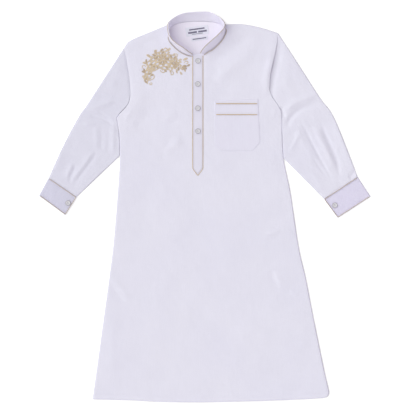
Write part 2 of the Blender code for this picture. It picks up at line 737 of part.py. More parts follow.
# Collar
def build_collar(front_tree, back_tree):
    base, free_edge, rise = band_line[:, :2], band_line[:, 2:4], band_line[:, 4]
    half = BAND_THICKNESS / 2
    under = np.array([resting_height([front_tree, back_tree], x, y, half + GAP) for x, y in base])
    seat = np.maximum(np.maximum(under, [*under[1:], 0]), [0, *under[:-1]]) + GAP
    foot = np.column_stack([base, seat])
    cord = np.column_stack([free_edge, seat + rise])
    up = (cord - foot) / np.linalg.norm(cord - foot, axis=1)[:, None]
    top = cord - up * (PIPING_SEAT + PIPING)
    along = np.gradient(foot, axis=0)
    across = np.cross(along, top - foot)
    across /= np.linalg.norm(across, axis=1)[:, None]
    flat = across * (1, 1, 0)
    flat /= np.linalg.norm(flat, axis=1)[:, None]
    middle = (foot + top) / 2 + across * BAND_BOW
    levels = (foot, middle, top)
    normals = (flat, across, across)
    outer = np.stack([level + half * normal for level, normal in zip(levels, normals)], axis=1)
    inner = np.stack([level - half * normal for level, normal in zip(levels, normals)], axis=1)
    add_solid("collar", *sheet_solid(outer, inner), CLOTH_BAND)
    add_piping("collar_piping_top", cord)
    lean = np.maximum((up[:, :2] * flat[:, :2]).sum(axis=1), 0.0) / up[:, 2]
    aside = (half + PIPING_SEAT + PIPING) * np.hypot(1, lean) + GAP
    plan = base + flat[:, :2] * aside[:, None]
    for _ in range(3):
        seam = laid_on([front_tree, back_tree], plan, GAP + PIPING, PIPING + GAP)
        plan = base + flat[:, :2] * (aside + lean * np.maximum(seam[:, 2] - seat, 0))[:, None]
    add_piping("collar_piping_seam", seam)


# Front details
def build_placket(front_tree):
    clear = PIPING + GAP
    right, left = PLACKET_RIGHT + clear, PLACKET_LEFT - clear
    middle = (right + left) / 2
    shares = (0, 0.25, 0.5, 0.75, 1)
    low, high = [], []
    for share in shares:
        x = right + (left - right) * share
        point_share = 1 - abs(2 * share - 1)
        low.append((x, PLACKET_SHOULDER + (PLACKET_POINT + clear + 1 - PLACKET_SHOULDER) * point_share))
        high.append((x, PLACKET_TOP))
    tree = add_patch("placket", strip_plan(low, high, 22), [front_tree], CLOTH_BAND)
    corners = [
        (PLACKET_RIGHT, PLACKET_TOP),
        (PLACKET_RIGHT, PLACKET_SHOULDER - 1),
        (middle, PLACKET_POINT - 1),
        (PLACKET_LEFT, PLACKET_SHOULDER - 1),
        (PLACKET_LEFT, PLACKET_TOP),
    ]
    plan = rounded_path(corners, CORD_CORNER, CORD_STEP)
    add_piping("placket_piping", laid_on([front_tree], plan, GAP + PIPING, CORD_REACH))
    for number, (x, y) in enumerate(PLACKET_BUTTONS, 1):
        add_button(f"button_placket_{number}", x, y, [tree])


def build_pocket(front_tree):
    first, start, end, last = np.array(POCKET_LOW)
    bottom = [start + (end - start) * share for share in np.linspace(0, 1, 7)]
    low = np.array([first, *bottom, last])
    top_right, top_left = np.array(POCKET_TOP)
    across = (low[:, :1] - first[0]) / (last[0] - first[0])
    high = top_right + (top_left - top_right) * across
    tree = add_patch("pocket", strip_plan(low, high, 9), [front_tree], CLOTH_BAND)
    for number, level in enumerate(POCKET_PIPING_LEVELS, 1):
        ends = [(top_right[0] + POCKET_PIPING_INSET, level), (top_left[0] - POCKET_PIPING_INSET, level)]
        plan = rounded_path(ends, 0, CORD_STEP)
        add_piping(f"pocket_piping_{number}", laid_on([tree], plan, GAP + PIPING, CORD_REACH))


def build_labels(back_tree):
    for name, label in LABELS.items():
        turn = math.radians(label.tilt)
        corners = []
        for across, up in ((-0.5, -0.5), (0.5, -0.5), (-0.5, 0.5), (0.5, 0.5)):
            x, y = across * label.width, up * label.height
            corners.append((label.x + x * math.cos(turn) - y * math.sin(turn),
                            label.y + x * math.sin(turn) + y * math.cos(turn)))
        plan = strip_plan(corners[:2], corners[2:], 2)
        add_patch(name, plan, [back_tree], LABEL_WEAVE, LABEL_THICKNESS)


def main():
    for thing in list(bpy.data.objects):
        bpy.data.objects.remove(thing)
    front_tree, back_tree = build_body()
    build_sleeves()
    build_cuffs()
    build_collar(front_tree, back_tree)
    build_placket(front_tree)
    build_pocket(front_tree)
    build_labels(back_tree)


main()
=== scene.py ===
"""The looks of a child's long robe (thobe), buttoned and laid flat on its back.

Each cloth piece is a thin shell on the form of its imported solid, with the creases, stitching, piping and
embroidery of the real garment. Lengths are in millimetres on the outline's own axes: X across the garment
towards its left sleeve, Y from the hem to the collar, Z up. placed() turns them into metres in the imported
part's frame. Crease paths are in the photograph's pixels, which from_photo() turns into outline millimetres.
"""

import math
from collections import namedtuple

import bpy
import numpy as np
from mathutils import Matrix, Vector
from mathutils.bvhtree import BVHTree


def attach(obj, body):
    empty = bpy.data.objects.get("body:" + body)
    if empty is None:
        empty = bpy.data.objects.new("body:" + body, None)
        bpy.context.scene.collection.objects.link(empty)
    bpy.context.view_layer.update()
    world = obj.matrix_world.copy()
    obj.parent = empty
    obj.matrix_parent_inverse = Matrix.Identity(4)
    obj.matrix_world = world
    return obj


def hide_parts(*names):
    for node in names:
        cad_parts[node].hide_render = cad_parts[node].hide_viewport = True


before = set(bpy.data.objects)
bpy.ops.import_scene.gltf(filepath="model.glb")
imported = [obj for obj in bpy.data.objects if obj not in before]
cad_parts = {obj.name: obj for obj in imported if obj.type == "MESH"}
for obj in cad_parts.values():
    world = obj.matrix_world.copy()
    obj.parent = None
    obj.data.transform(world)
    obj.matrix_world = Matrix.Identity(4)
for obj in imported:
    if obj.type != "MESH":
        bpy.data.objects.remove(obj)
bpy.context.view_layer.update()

MM = 0.001
PIXEL = 2.1
PHOTO_ORIGIN = (198.0, 402.0)
PHOTO_MIDDLE = (208.0, 208.0)
PHOTO_SIDE = 416
FOOTPRINT_MIDDLE = (14.7, 409.9)
ON_EDGE = 1e-6
HIGH_ABOVE = 100.0
BEVEL_FROM = math.radians(50)

# Driving sizes
SHELL = 0.7
SEAM_GAP = 0.08
SEAM_DIP_BODY, SEAM_DIP_SLEEVE, SEAM_DIP_WIDTH = 0.3, 0.35, 3.2
SEAM_DIP_LEFT_SHARE = 0.25
BODY_EDGE = 2.6
BODY_EDGE_LEFT_HEM = 3.1
BODY_HEIGHT = 780.0
BODY_SEED = 11
SLEEVE_EDGE = 2.4
SLEEVE_LENGTH = 340
SLEEVE_CLEAR = 0.2
SLEEVE_HOLLOW = 0.4
UNDERARM_HEIGHT = 596.4
PIPING = 1.3
PIPING_SEAT = 0.45
CORD_RADIUS = 0.95
CORD_SEAT = 0.9
CORD_REACH = 0.9
CORD_STEP = 0.9
CORD_EASE = 9
CORD_SIDES = 12
CORD_STRANDS = 3
CORD_LAY = 7.0
CORNER_RADIUS = 2.6
BAND_THICKNESS = 1.8
BAND_CLEAR = 0.1
BAND_BOW, BAND_WAVE = 0.8, 0.25
BAND_SEED, BAND_WAVELENGTH = 71, 30
BAND_SEAT_REACH = 5
BAND_ROUND_FROM = 0.94
BAND_HIDES_FROM = (762.0, 777.0)
BAND_BACK = 798.0
BAND_SEAM_SHIFT, BAND_SEAM_SINK = 1.8, 2.2
COLLAR_LEVELS = (0, 0.08, 0.16, 0.25, 0.36, 0.47, 0.58, 0.69, 0.8, 0.88, 0.94, 0.97, 0.985, 1.0)
COLLAR_STITCH_LEVELS = {"low": 0.16, "high": 0.8}
CUFF_WALL = 1.2
CUFF_GAP = 0.3
CUFF_UNDERLAP = 20.0
CUFF_CROWN = 0.8
CUFF_WAVE, CUFF_WAVELENGTH = 0.16, 22
CUFF_ROWS, CUFF_COLUMNS, CUFF_FOLD_STEPS = 24, 30, (13, 9)
CUFF_BEVEL = 0.35
CUFF_PIPING_START = 2.2
CUFF_PIPING_INSET = 0.6
CUFF_STITCH_START = 1.0
CUFF_SEEDS = {"right": 60, "left": 61}
SLEEVE_SEEDS = {"right": 47, "left": 31}
PLACKET_LEFT = 10.5
PLACKET_RIGHT = -11.1
PLACKET_TOP = 727.5
PLACKET_SHOULDER = 491.0
PLACKET_POINT = 476.0
PLACKET_THICKNESS = 0.55
PLACKET_POINT_CLEAR = 2.6
PLACKET_ROWS = 110
PLACKET_SOFT, POCKET_SOFT = 1.0, 2.4
PLACKET_CORD = 0.72
PLACKET_CLEAR = 0.8
PLACKET_CORD_LIFTS = (0.25, -0.3)
BUTTON_RADIUS = 5.7
BUTTON_SEAT, BUTTON_LIFT = 0.8, 0.25
BUTTON_SIDES = 40
BUTTON_SHADED_RIM_ROWS = 8
BUTTON_FLOOR_ROW = 10
BUTTON_FLOOR = 1.66
BUTTON_HOLE_REACH = 1.35
BUTTON_HOLE, BUTTON_HOLE_EDGE, BUTTON_HOLE_DEPTH = 0.45, 0.35, 1.1
BUTTON_THREAD, BUTTON_THREAD_HEIGHT, BUTTON_THREAD_RISE = 0.33, 1.62, 0.35
STITCH_PITCH = 2.9
STITCH_LENGTH = 2.2
STITCH_RADIUS = 0.2
STITCH_RISE = 0.08
STITCH_LIFT = 0.12
STITCH_INSET = 3.4
INSET_RADIUS = 1.5
HEM_STITCH = 10.5
HEM_STITCH_PITCH, HEM_STITCH_LENGTH = 3.2, 2.4
PATCH_LIFT, PATCH_RIM = 0.06, 0.14
THREAD_PITCH = 0.62
THREAD_RADIUS = 0.34
THREAD_LIFT = {"light": 0.18, "dark": 0.36}
SHORTEST_THREAD = 0.3
SATIN_SLANT = 0.35
THREAD_RISE, THREAD_RISE_SHARE, THREAD_MOST_RISE = 0.12, 0.07, 0.5
# The leaves along the spray's arcs: every so many millimetres, degrees aside, size and its swing, width, bend
LEAF_EVERY, LEAF_ASIDE, LEAF_SIZE, LEAF_SWING, LEAF_WIDTH, LEAF_BEND = 6, 52, 7.4, 1.6, 3.7, 0.7
# A rosette's petals and knot, as shares of its radius
PETAL_ROOT, PETAL_LENGTH, PETAL_WIDTH, KNOT_RADIUS = 0.24, 0.78, 2.5, 0.18

# Creases: the deepest trough, their reach in half widths, the share that fades at each end, their form
CREASE_FLOOR = 2.9
CREASE_REACH, CREASE_FADE, CREASE_SHAPE = 3, 0.3, 1.7
# The small unevenness of ironed cotton, as height and wavelength
RUMPLES = ((0.34, 75), (0.13, 26), (0.045, 11))

# The hem's two dips, as height, middle and width, and the lift of its doubled cloth
HEM_DIPS = ((-0.9, 0.0, 1.6), (-0.28, HEM_STITCH, 1.3))
HEM_LIFT, HEM_LIFT_FADE = 0.3, 3

# Light and camera
AMBIENT, AMBIENT_BELOW = 0.62, 0.15
AMBIENT_TINT = (1.01, 0.975, 1.015)
HORIZON = (-0.25, 0.15)
KEY_STRENGTH, KEY_ANGLE = 1.62, 70
KEY_TINT = (0.985, 1.04, 0.975)
KEY_FROM = (-0.66, 0.12, 0.74)
CAMERA_DISTANCE = 6.0
CAMERA_RAISED, CAMERA_SEES_TO = 0.005, 50.0
FLOOR_SIDE, FLOOR_BELOW = 14.0, 0.0004
FLOOR_COLOUR, FLOOR_GLOW = (0.9, 0.9, 0.9), 0.42
SENSOR = 36.0

# Columns and row step of each panel's grid
FRONT_GRID, BACK_GRID, SLEEVE_GRID = (152, 3.0), (90, 6.0), (46, 2.6)

# Shares of the panels where outlines meet
UNDERARM_SHARE, ARMHOLE_SHARE, CLOSING_SHARE = 0.75, 0.83, 0.02
NECK_START, NECK_END = 0.29, 0.654
PANEL_SPAN = 700.0
SLEEVE_KNOTS = (0.24, 0.53)
SLEEVE_END_ROWS = np.array((0, 0.002, 0.005, 0.009))
BODY_STRETCHES = (590, 62, 115)
HEM_ROWS = (0, 0.6, 1.4, 2.6, 4.5, 7.0, 9.2, 10.5, 11.8, 14.0)
ROLL = np.radians((0, 18, 36, 54, 72, 90))
BODY_ROLL_SHARE, SLEEVE_ROLL_SHARE = 0.013, 0.05
NECK_WEIGHTS = ((1.0, 1.0), (1.0, 0.3), (1.0, 1.0))
NECK_REACH, NECK_STRAIGHT, NECK_SIDES = 0.8, 0.1, 0.15
NECK_SIDE, NECK_TURN, NECK_SPREAD = 781.0, 774.0, 0.12
NECK_CLEAR = 0.2

# Outlines as x, y
SIDE_RIGHT = (
    (-221.4, 5.3), (-207.7, 103.7), (-198.2, 173.5), (-187.6, 250.0), (-177.6, 330.0), (-170.4, 413.7),
    (-165.4, 482.2), (-164.0, 520.0), (-165.4, 560.0), (-170.9, UNDERARM_HEIGHT),
)
SIDE_LEFT = (
    (273.2, 12.0), (275.4, 22.0), (267.5, 56.7), (254.8, 117.8), (240.7, 187.3), (226.2, 262.0),
    (212.1, 323.4), (196.9, 424.2), (191.4, 456.0), (179.8, 511.6), (177.0, 561.0),
    (176.4, UNDERARM_HEIGHT),
)
HEM = (
    (-221.4, 5.3), (-143.0, 3.3), (-80.6, 0.1), (-4.2, -1.0), (100.4, 1.0), (193.2, 4.3), (260.4, 8.2),
    (273.2, 12.0),
)
UNDERARM_RIGHT = (
    (-170.9, UNDERARM_HEIGHT), (-164.6, 605.2), (-155.2, 614.9), (-146.2, 627.0), (-142.0, 643.0),
)
ARMHOLE_RIGHT = (
    (-142.0, 643.0), (-143.0, 667.8), (-146.6, 694.5), (-151.4, 720.9), (-156.2, 742.6),
)
UNDERARM_LEFT = (
    (176.4, UNDERARM_HEIGHT), (174.0, 611.0), (166.0, 626.0), (156.0, 640.0), (149.8, 656.0),
)
ARMHOLE_LEFT = (
    (149.8, 656.0), (151.6, 686.7), (158.1, 716.1), (164.9, 748.7), (168.0, 775.0),
)
SHOULDER_RIGHT = ((-156.2, 742.6), (-141.8, 759.2), (-100.8, 777.0), (-63.2, 792.5))
SHOULDER_LEFT = ((57.6, 793.2), (94.9, 793.4), (131.0, 786.5), (168.0, 775.0))
BACK_NECK = (
    (-63.2, 792.5), (-46.0, 796.6), (-27.0, 800.2), (-1.0, 801.9), (23.0, 800.9), (40.0, 798.8),
    (57.6, 793.2),
)

# The collar band from its left front end round the back: its seam's x, y, its free edge's x, y and rise
COLLAR = (
    (10.9, 730.8, 4.6, 732.1, 5.0), (19.5, 736.3, 10.3, 740.7, 13.0), (30.0, 742.3, 16.8, 747.6, 18.5),
    (44.1, 755.4, 28.5, 758.3, 18.0), (53.6, 769.3, 43.2, 771.3, 21.3),
    (57.1, 781.5, 52.6, 782.8, 23.4), (51.8, 791.7, 54.6, 795.0, 23.6),
    (39.9, 796.9, 42.4, 808.5, 21.0), (23.1, 799.2, 23.9, 817.8, 15.2),
    (-1.0, 800.2, -2.1, 818.4, 15.0), (-27.3, 798.5, -33.2, 814.6, 17.0),
    (-46.2, 794.6, -52.5, 804.0, 21.2), (-58.2, 786.5, -61.7, 793.4, 22.9),
    (-61.4, 774.9, -60.9, 777.0, 23.9), (-58.4, 759.4, -55.6, 761.9, 23.7),
    (-48.3, 747.0, -43.6, 751.0, 23.2), (-36.3, 737.1, -30.6, 742.6, 22.6),
    (-24.2, 730.9, -20.0, 735.4, 13.0), (-12.8, 728.5, -11.6, 729.8, 5.0),
)

# Each sleeve: its outer edge, where its inner edge leaves the body, and the cuff's corners from the seam's
# outer one
Sleeve = namedtuple("Sleeve", "outer leaves_body seam_outer seam_inner end_inner end_outer")
SLEEVES = {
    "right": Sleeve(
        ((-230.9, 626.9), (-249.2, 601.0), (-283.2, 537.6)),
        516.0,
        (-313.4, 470.8),
        (-255.0, 430.6),
        (-279.0, 392.6),
        (-334.0, 433.2),
    ),
    "left": Sleeve(
        ((207.9, 714.0), (256.4, 638.8), (284.4, 600.0), (320.6, 512.0)),
        511.6,
        (335.0, 473.2),
        (264.4, 426.6),
        (293.6, 386.6),
        (362.6, 431.4),
    ),
}

POCKET_TOP = ((34.0, 631.5), (126.5, 636.5))
POCKET_LOW = ((35.5, 541.0), (49.5, 527.0), (114.5, 527.0), (130.5, 545.0))
POCKET_PIPING_LEVELS = (626.5, 603.5)
POCKET_PIPING_INSETS = (3.8, 2.2)
POCKET_STITCH_LEVELS = (622.6, 607.6, 629.8)
POCKET_FACING = 598.0
POCKET_CLOTH, POCKET_DOUBLED = 0.42, 0.45
PLACKET_BUTTONS = ((-0.2, 716.5), (-0.8, 667.8), (-0.8, 617.0), (-0.4, 568.7))
CUFF_BUTTONS = {"right": (-273.2, 417.9), "left": (287.2, 413.2)}
Label = namedtuple("Label", "x y width height tilt")
LABELS = {
    "main": Label(-1.9, 779.8, 48.0, 19.0, 8.0),
    "size": Label(3.4, 763.6, 35.0, 8.4, 8.0),
}
LABEL_THICKNESS, BAR_THICKNESS = 0.55, 0.2
LABEL_SOFT, BAR_SOFT = 0.6, 0.3
# Plain bars where a label has words: start, end, middle and half height, as shares of the label
LABEL_WORDS = {
    "main": (
        (-0.34, 0.34, 0.2, 0.075),
        (-0.4, -0.02, -0.12, 0.1),
        (0.04, 0.42, -0.12, 0.1),
        (-0.24, 0.24, -0.33, 0.03),
    ),
    "size": ((-0.42, 0.4, 0.0, 0.13),),
}

# A button's profile from its foot to its rim: share of the radius, height
BUTTON_PROFILE = (
    (0.0, 0.0), (0.75, 0.0), (0.93, 0.15), (1.0, 0.55), (1.0, 1.5),
    (0.97, 1.95), (0.9, 2.2), (0.82, 2.16), (0.74, 1.9), (0.66, 1.72),
)

# Creases: a path in photo pixels, the half width and the height in millimetres, negative in a trough
BODY_CREASES = (
    (((275, 36), (272, 50), (268, 66), (264, 82), (263, 93)), 10, 1.5),
    (((274, 52), (269.5, 68), (267, 82), (266.5, 98)), 7, 2.1),
    (((264, 50), (258, 66), (256, 80)), 16, 0.9),
    (((206, 68), (216, 60), (228, 50), (240, 42), (254, 36)), 12, -2.6),
    (((214, 84), (226, 72), (241, 60), (259, 52)), 13, 2.0),
    (((206, 80), (214, 74), (222, 64)), 9, -0.7),
    (((139, 44), (152, 41), (169, 39)), 7, -0.9),
    (((133, 50), (138, 62), (140, 84)), 9, 0.7),
    (((131, 122), (142, 120), (154, 112)), 12, -0.9),
    (((124, 118), (127, 116), (133, 110)), 4, 0.9),
    (((125, 121), (130, 120), (136, 116)), 3.5, -0.8),
    (((178, 112), (171, 116), (163, 122)), 8, 0.8),
    (((180, 118), (172, 123), (164, 129)), 8, -0.6),
    (((184, 138), (172, 146), (160, 156)), 9, 1.4),
    (((172, 136), (167, 146), (161, 162)), 10, -1.3),
    (((150, 96), (146, 110), (144, 130)), 14, -0.7),
    (((146, 85), (137, 105), (122, 136)), 20, 1.4),
    (((160, 92), (150, 113), (134, 146)), 20, -1.6),
    (((275, 107), (275, 112), (276, 118)), 5, 1.0),
    (((276, 113), (276, 115)), 1.6, -0.9),
    (((281, 231), (272, 233), (264, 234)), 5, 1.2),
    (((280, 236), (272, 238), (265, 238)), 4, -0.9),
    (((274, 270), (278, 278), (283, 287)), 8, 0.9),
    (((269, 268), (274, 279), (279, 290)), 8, -1.2),
    (((290, 290), (294, 293), (299, 296)), 6, 0.9),
    (((111, 276), (120, 288), (132, 302)), 8, 1.0),
    (((108, 280), (117, 293), (128, 306)), 7, -1.1),
    (((183, 302), (188, 308), (193, 312)), 7, 0.7),
    (((249, 341), (280, 362), (325, 388)), 26, -1.3),
    (((232, 318), (268, 338), (306, 352)), 24, 1.2),
    (((103, 306), (101, 340), (98, 388)), 12, -0.9),
    (((114, 300), (112, 345), (110, 392)), 14, 1.0),
    (((164, 260), (160, 310), (152, 370)), 34, 0.9),
    (((226, 200), (228, 250), (232, 300)), 34, 0.8),
    (((150, 170), (146, 210), (144, 250)), 24, -0.7),
    (((196, 180), (200, 220), (204, 262)), 24, -0.6),
    (((124.5, 51), (127.5, 66), (130, 84), (130, 99)), 5, -0.7),
)
SLEEVE_CREASES = {
    "right": (
        (((86, 111), (97, 107), (108, 103), (117, 100)), 6, 2.0),
        (((88, 116), (95, 117), (102, 119), (109, 122.5), (114, 127)), 4.2, -2.2),
        (((97, 111), (103, 114.5), (110, 119.5)), 2.8, -0.9),
        (((83, 124.5), (90, 124), (97, 124)), 4.5, 1.6),
        (((96, 122), (96.5, 137), (97, 152)), 6, 1.0),
        (((101.5, 124), (101.5, 138), (100.5, 153)), 5, -0.8),
        (((99, 150), (92, 160), (85, 169.3), (76.4, 180.7), (72.5, 188)), 4.4, -1.5),
        (((95, 149), (86, 162), (78, 173), (72, 183)), 6, 1.6),
        (((77.5, 163), (73.5, 171), (70.5, 178), (69, 186)), 3.8, -1.1),
        (((73, 162), (69, 171), (66, 180)), 4.5, 1.3),
        (((113.5, 122), (113.3, 140), (112.5, 156)), 5, 1.2),
        (((108.5, 124), (108.5, 140), (107, 156)), 5, -0.8),
        (((121, 60), (116, 78), (108, 92)), 12, 1.0),
        (((64, 148), (60, 160), (56, 172)), 8, 1.1),
        (((124.5, 51), (127.5, 66), (130, 84), (130, 99)), 3.6, -1.2),
    ),
    "left": (
        (((280.5, 34), (278.6, 52), (276, 66), (273.4, 78), (272.2, 91), (275, 102)), 6.5, -3.5),
        (((290, 52), (288, 66), (286, 80), (287, 94)), 12, 1.2),
        (((280.5, 106), (282, 112), (283, 120)), 4.5, -2.8),
        (((320, 105.5), (311, 106.5), (303.5, 108), (295, 113.5), (289, 121), (286.5, 131)), 4.4, -2.9),
        (((318, 97), (304, 99.5), (291, 106), (284, 115)), 6.5, 2.5),
        (((299.5, 119), (305, 129), (310.7, 140.7), (317, 153), (323.6, 165), (333, 181)), 3.2, -2.4),
        (((295, 122), (301, 137), (308, 151), (316, 165)), 7, 1.0),
        (((314, 124), (321, 140), (329, 156), (334.5, 170)), 6.5, 2.4),
        (((319.5, 120), (326.4, 136.4), (332.9, 150.7), (337.9, 165), (340, 180)), 4.6, -3.2),
        (((312, 156.5), (321, 169), (327, 178)), 3.4, -1.2),
        (((334, 120), (342, 138), (347, 154), (349, 167)), 9, 1.6),
        (((300.7, 130), (295, 142), (289, 153)), 5, 1.3),
        (((357, 169), (353, 174), (349, 180)), 4.5, -2.6),
        (((290, 50), (297, 66), (303, 84)), 16, 1.0),
        (((310, 172), (318, 181), (324, 189)), 6, 1.0),
    ),
}

# The spray's middle line in photo pixels, and the arcs beside it: offset, start and end shares, width
SPRAY_SPINE = ((147.5, 84), (147.5, 76), (151, 67.5), (158, 62), (168, 60.5), (178, 63.5), (186, 69))
SPRAY_ARCS = (
    (-19, 0.44, 0.66, 2.6), (-12.5, 0.3, 0.8, 3.0), (-6.2, 0.04, 0.9, 3.2), (0, 0.0, 1.0, 3.6),
    (6.2, 0.14, 0.97, 3.0), (12.5, 0.34, 0.88, 3.0), (19, 0.46, 0.74, 2.4),
)
# Scrolls: start in photo pixels, heading in degrees from X towards Y, length, curl in turns, width
SPRAY_SCROLLS = (
    ((150, 80), 10, 30, 0.95, 2.2),
    ((163, 51), 75, 22, -0.95, 2.2),
    ((146, 67), 130, 17, 0.8, 2.0),
    ((160, 70), -60, 26, 1.0, 2.2),
    ((172, 71), -40, 18, -0.9, 2.0),
    ((149, 83), -70, 15, 1.0, 1.8),
    ((184, 63), 60, 18, -0.9, 2.0),
    ((154, 58), 120, 16, 0.9, 1.8),
    ((174, 55.5), 60, 16, -0.9, 1.8),
    ((146, 78), 180, 11, -0.8, 1.6),
)
# Leaves: root in photo pixels, heading, length, width, bend in radians
SPRAY_LEAVES = (
    ((146.5, 80), 140, 9, 4.4, 0.5),
    ((145.5, 73), 150, 9, 4.4, 0.5),
    ((147.5, 64), 160, 11, 5.0, 0.5),
    ((151, 58), 140, 12, 5.2, 0.5),
    ((157, 54.5), 120, 11, 5.0, -0.4),
    ((168, 51.5), 60, 9, 4.6, -0.5),
    ((183, 60.5), 30, 11, 4.8, -0.5),
    ((186.5, 66), 20, 8, 4.0, 0.6),
    ((180, 71.5), -60, 8, 4.0, 0.4),
)
# Rosettes: centre in photo pixels, radius, petals, turn
SPRAY_ROSETTES = (
    ((163, 59.5), 11.0, 8, 10),
    ((151.5, 68.5), 8.0, 7, 0),
    ((175.5, 64), 8.0, 7, 25),
    ((148.5, 79), 5.5, 6, 15),
    ((184.5, 68), 5.5, 6, 40),
)


# Lines in plan
def from_photo(points):
    pixels = np.array(points, float)
    return np.column_stack([pixels[:, 0] - PHOTO_ORIGIN[0], PHOTO_ORIGIN[1] - pixels[:, 1]]) * PIXEL


def smooth_line(points, steps=14):
    """A smooth curve through the points, as short straight steps."""
    given = np.array(points, float)
    padded = np.vstack([2 * given[0] - given[1], given, 2 * given[-1] - given[-2]])
    t = np.linspace(0, 1, steps, endpoint=False)[:, None]
    pieces = []
    for a, b, c, d in zip(padded[:-3], padded[1:-2], padded[2:-1], padded[3:]):
        cubic = 3 * b - a - 3 * c + d
        square = 2 * a - 5 * b + 4 * c - d
        pieces.append(0.5 * (2 * b + (c - a) * t + square * t**2 + cubic * t**3))
    return np.vstack([*pieces, given[-1:]])


def run_lengths(line):
    steps = np.linalg.norm(np.diff(line, axis=0), axis=1)
    return np.concatenate([[0.0], np.cumsum(steps)])


def points_at(line, run, at):
    """Points of the line at these lengths along it."""
    return np.column_stack([np.interp(at, run, column) for column in line.T])


def polar(radius, turns):
    return np.stack([radius * np.cos(turns), radius * np.sin(turns)], axis=-1)


def spaced(line, step):
    """The line again, with points about one step apart."""
    run = run_lengths(line)
    at = np.linspace(0, run[-1], max(2, round(run[-1] / step) + 1))
    return points_at(line, run, at)


def unit(vectors):
    """The vectors, each made one long."""
    return vectors / np.maximum(np.linalg.norm(vectors, axis=1), 1e-9)[:, None]


def moved_aside(line, distance):
    """The line moved in plan to the right of its own direction."""
    along = unit(np.gradient(line[:, :2], axis=0))
    moved = line.copy()
    moved[:, 0] += distance * along[:, 1]
    moved[:, 1] -= distance * along[:, 0]
    return moved


class Border:
    """One border of a panel: pieces joined end to end, each read by its share of its own length.

    The weights say how much steps along X and Y count towards each piece's length.
    """

    def __init__(self, pieces, knots, weights=((1.0, 1.0),) * 3):
        shares = []
        for piece, start, end, weight in zip(pieces, knots[:-1], knots[1:], weights):
            run = run_lengths(np.asarray(piece) * weight)
            shares.append(start + (end - start) * run / run[-1])
        self.shares = np.concatenate(shares)
        self.points = np.vstack(pieces)

    def at(self, share):
        axes = [np.interp(share, self.shares, self.points[:, k]) for k in (0, 1)]
        return np.stack(axes, axis=-1)


def panel_plan(low, high, first, last, u, v):
    """Plan points of a four-sided panel at the shares u across and v up."""
    across, up = u[..., None], v[..., None]
    ruled = (1 - up) * low.at(u) + up * high.at(u) + (1 - across) * first.at(v) + across * last.at(v)
    corners = (1 - up) * ((1 - across) * low.at(0.0) + across * low.at(1.0))
    corners = corners + up * ((1 - across) * high.at(0.0) + across * high.at(1.0))
    return ruled - corners


# Heights
def smoothstep(value):
    t = np.clip(value, 0, 1)
    return t * t * (3 - 2 * t)


def bell(distance, width):
    return np.exp(-((distance / width) ** 2))


def crease_height(creases, plan):
    """The height that the creases add at each plan point. They fade towards their ends."""
    spots = plan.reshape(-1, 2)
    total = np.zeros(len(spots))
    for path, half_width, height in creases:
        line = smooth_line(from_photo(path), 6)
        run = run_lengths(line)
        reach = CREASE_REACH * half_width
        near = np.flatnonzero(((spots > line.min(0) - reach) & (spots < line.max(0) + reach)).all(1))
        if not len(near):
            continue
        start, way = line[:-1][None], np.diff(line, axis=0)[None]
        offset = spots[near][:, None] - start
        along = np.clip((offset * way).sum(2) / (way**2).sum(2), 0, 1)
        away = np.linalg.norm(offset - along[..., None] * way, axis=2)
        nearest = away.argmin(axis=1)
        pick = np.arange(len(near)), nearest
        share = (run[nearest] + along[pick] * np.diff(run)[nearest]) / run[-1]
        fade = 1
        if len(path) > 2:
            fade = smoothstep(share / CREASE_FADE) * smoothstep((1 - share) / CREASE_FADE)
        total[near] += height * fade * np.exp(-((away[pick] / half_width) ** CREASE_SHAPE))
    sunk = CREASE_FLOOR * np.tanh(np.minimum(total, 0) / CREASE_FLOOR)
    return np.where(total < 0, sunk, total).reshape(plan.shape[:-1])


def ripple(plan, seed, wavelength, count=14):
    """A soft uneven waving of height about 1, the same each time for the same seed."""
    draw = np.random.default_rng(seed)
    total = np.zeros(plan.shape[:-1])
    for _ in range(count):
        turn, phase = draw.uniform(0, math.tau, 2)
        wave_number = math.tau / (wavelength * draw.uniform(0.7, 1.6))
        total += np.sin(wave_number * (plan[..., 0] * math.cos(turn) + plan[..., 1] * math.sin(turn)) + phase)
    return total / math.sqrt(count)


def rumple(plan, seed):
    waves = [height * ripple(plan, seed + k, wavelength) for k, (height, wavelength) in enumerate(RUMPLES)]
    return sum(waves)


# Meshes
def placed(points):
    return (np.asarray(points, float) - (*FOOTPRINT_MIDDLE, 0.0)) * MM


def grid_faces(rows, columns, offset=0, closed=False):
    k = np.arange(columns if closed else columns - 1)
    base = offset + np.arange(rows - 1)[:, None] * columns
    low, low_next = base + k, base + (k + 1) % columns
    return np.stack([low, low_next, low_next + columns, low + columns], axis=-1).reshape(-1, 4)


def shell_of(upper, lower):
    """Points and faces of the cloth between two grids of points with the same rows and columns."""
    rows, columns = upper.shape[:2]
    under = rows * columns
    top = grid_faces(rows, columns)
    rim = np.concatenate([
        np.arange(rows) * columns,
        (rows - 1) * columns + np.arange(1, columns),
        np.arange(rows - 2, -1, -1) * columns + columns - 1,
        np.arange(columns - 2, 0, -1),
    ])
    after = np.roll(rim, -1)
    wall = np.column_stack([rim, after, under + after, under + rim])
    faces = np.vstack([top, (top + under)[:, ::-1], wall])
    return np.concatenate([upper.reshape(-1, 3), lower.reshape(-1, 3)]), faces


def tube_of(outer, inner):
    """Points and faces of an open tube wall between two sets of rings with the same points."""
    rows, count = outer.shape[:2]
    inside = rows * count
    skin = grid_faces(rows, count, closed=True)
    walls = []
    for ring in (0, (rows - 1) * count):
        here = ring + np.arange(count)
        after = ring + (np.arange(count) + 1) % count
        walls.append(np.column_stack([here, after, inside + after, inside + here]))
    walls[0] = walls[0][:, ::-1]
    faces = np.vstack([skin, (skin + inside)[:, ::-1], *walls])
    return np.concatenate([outer.reshape(-1, 3), inner.reshape(-1, 3)]), faces


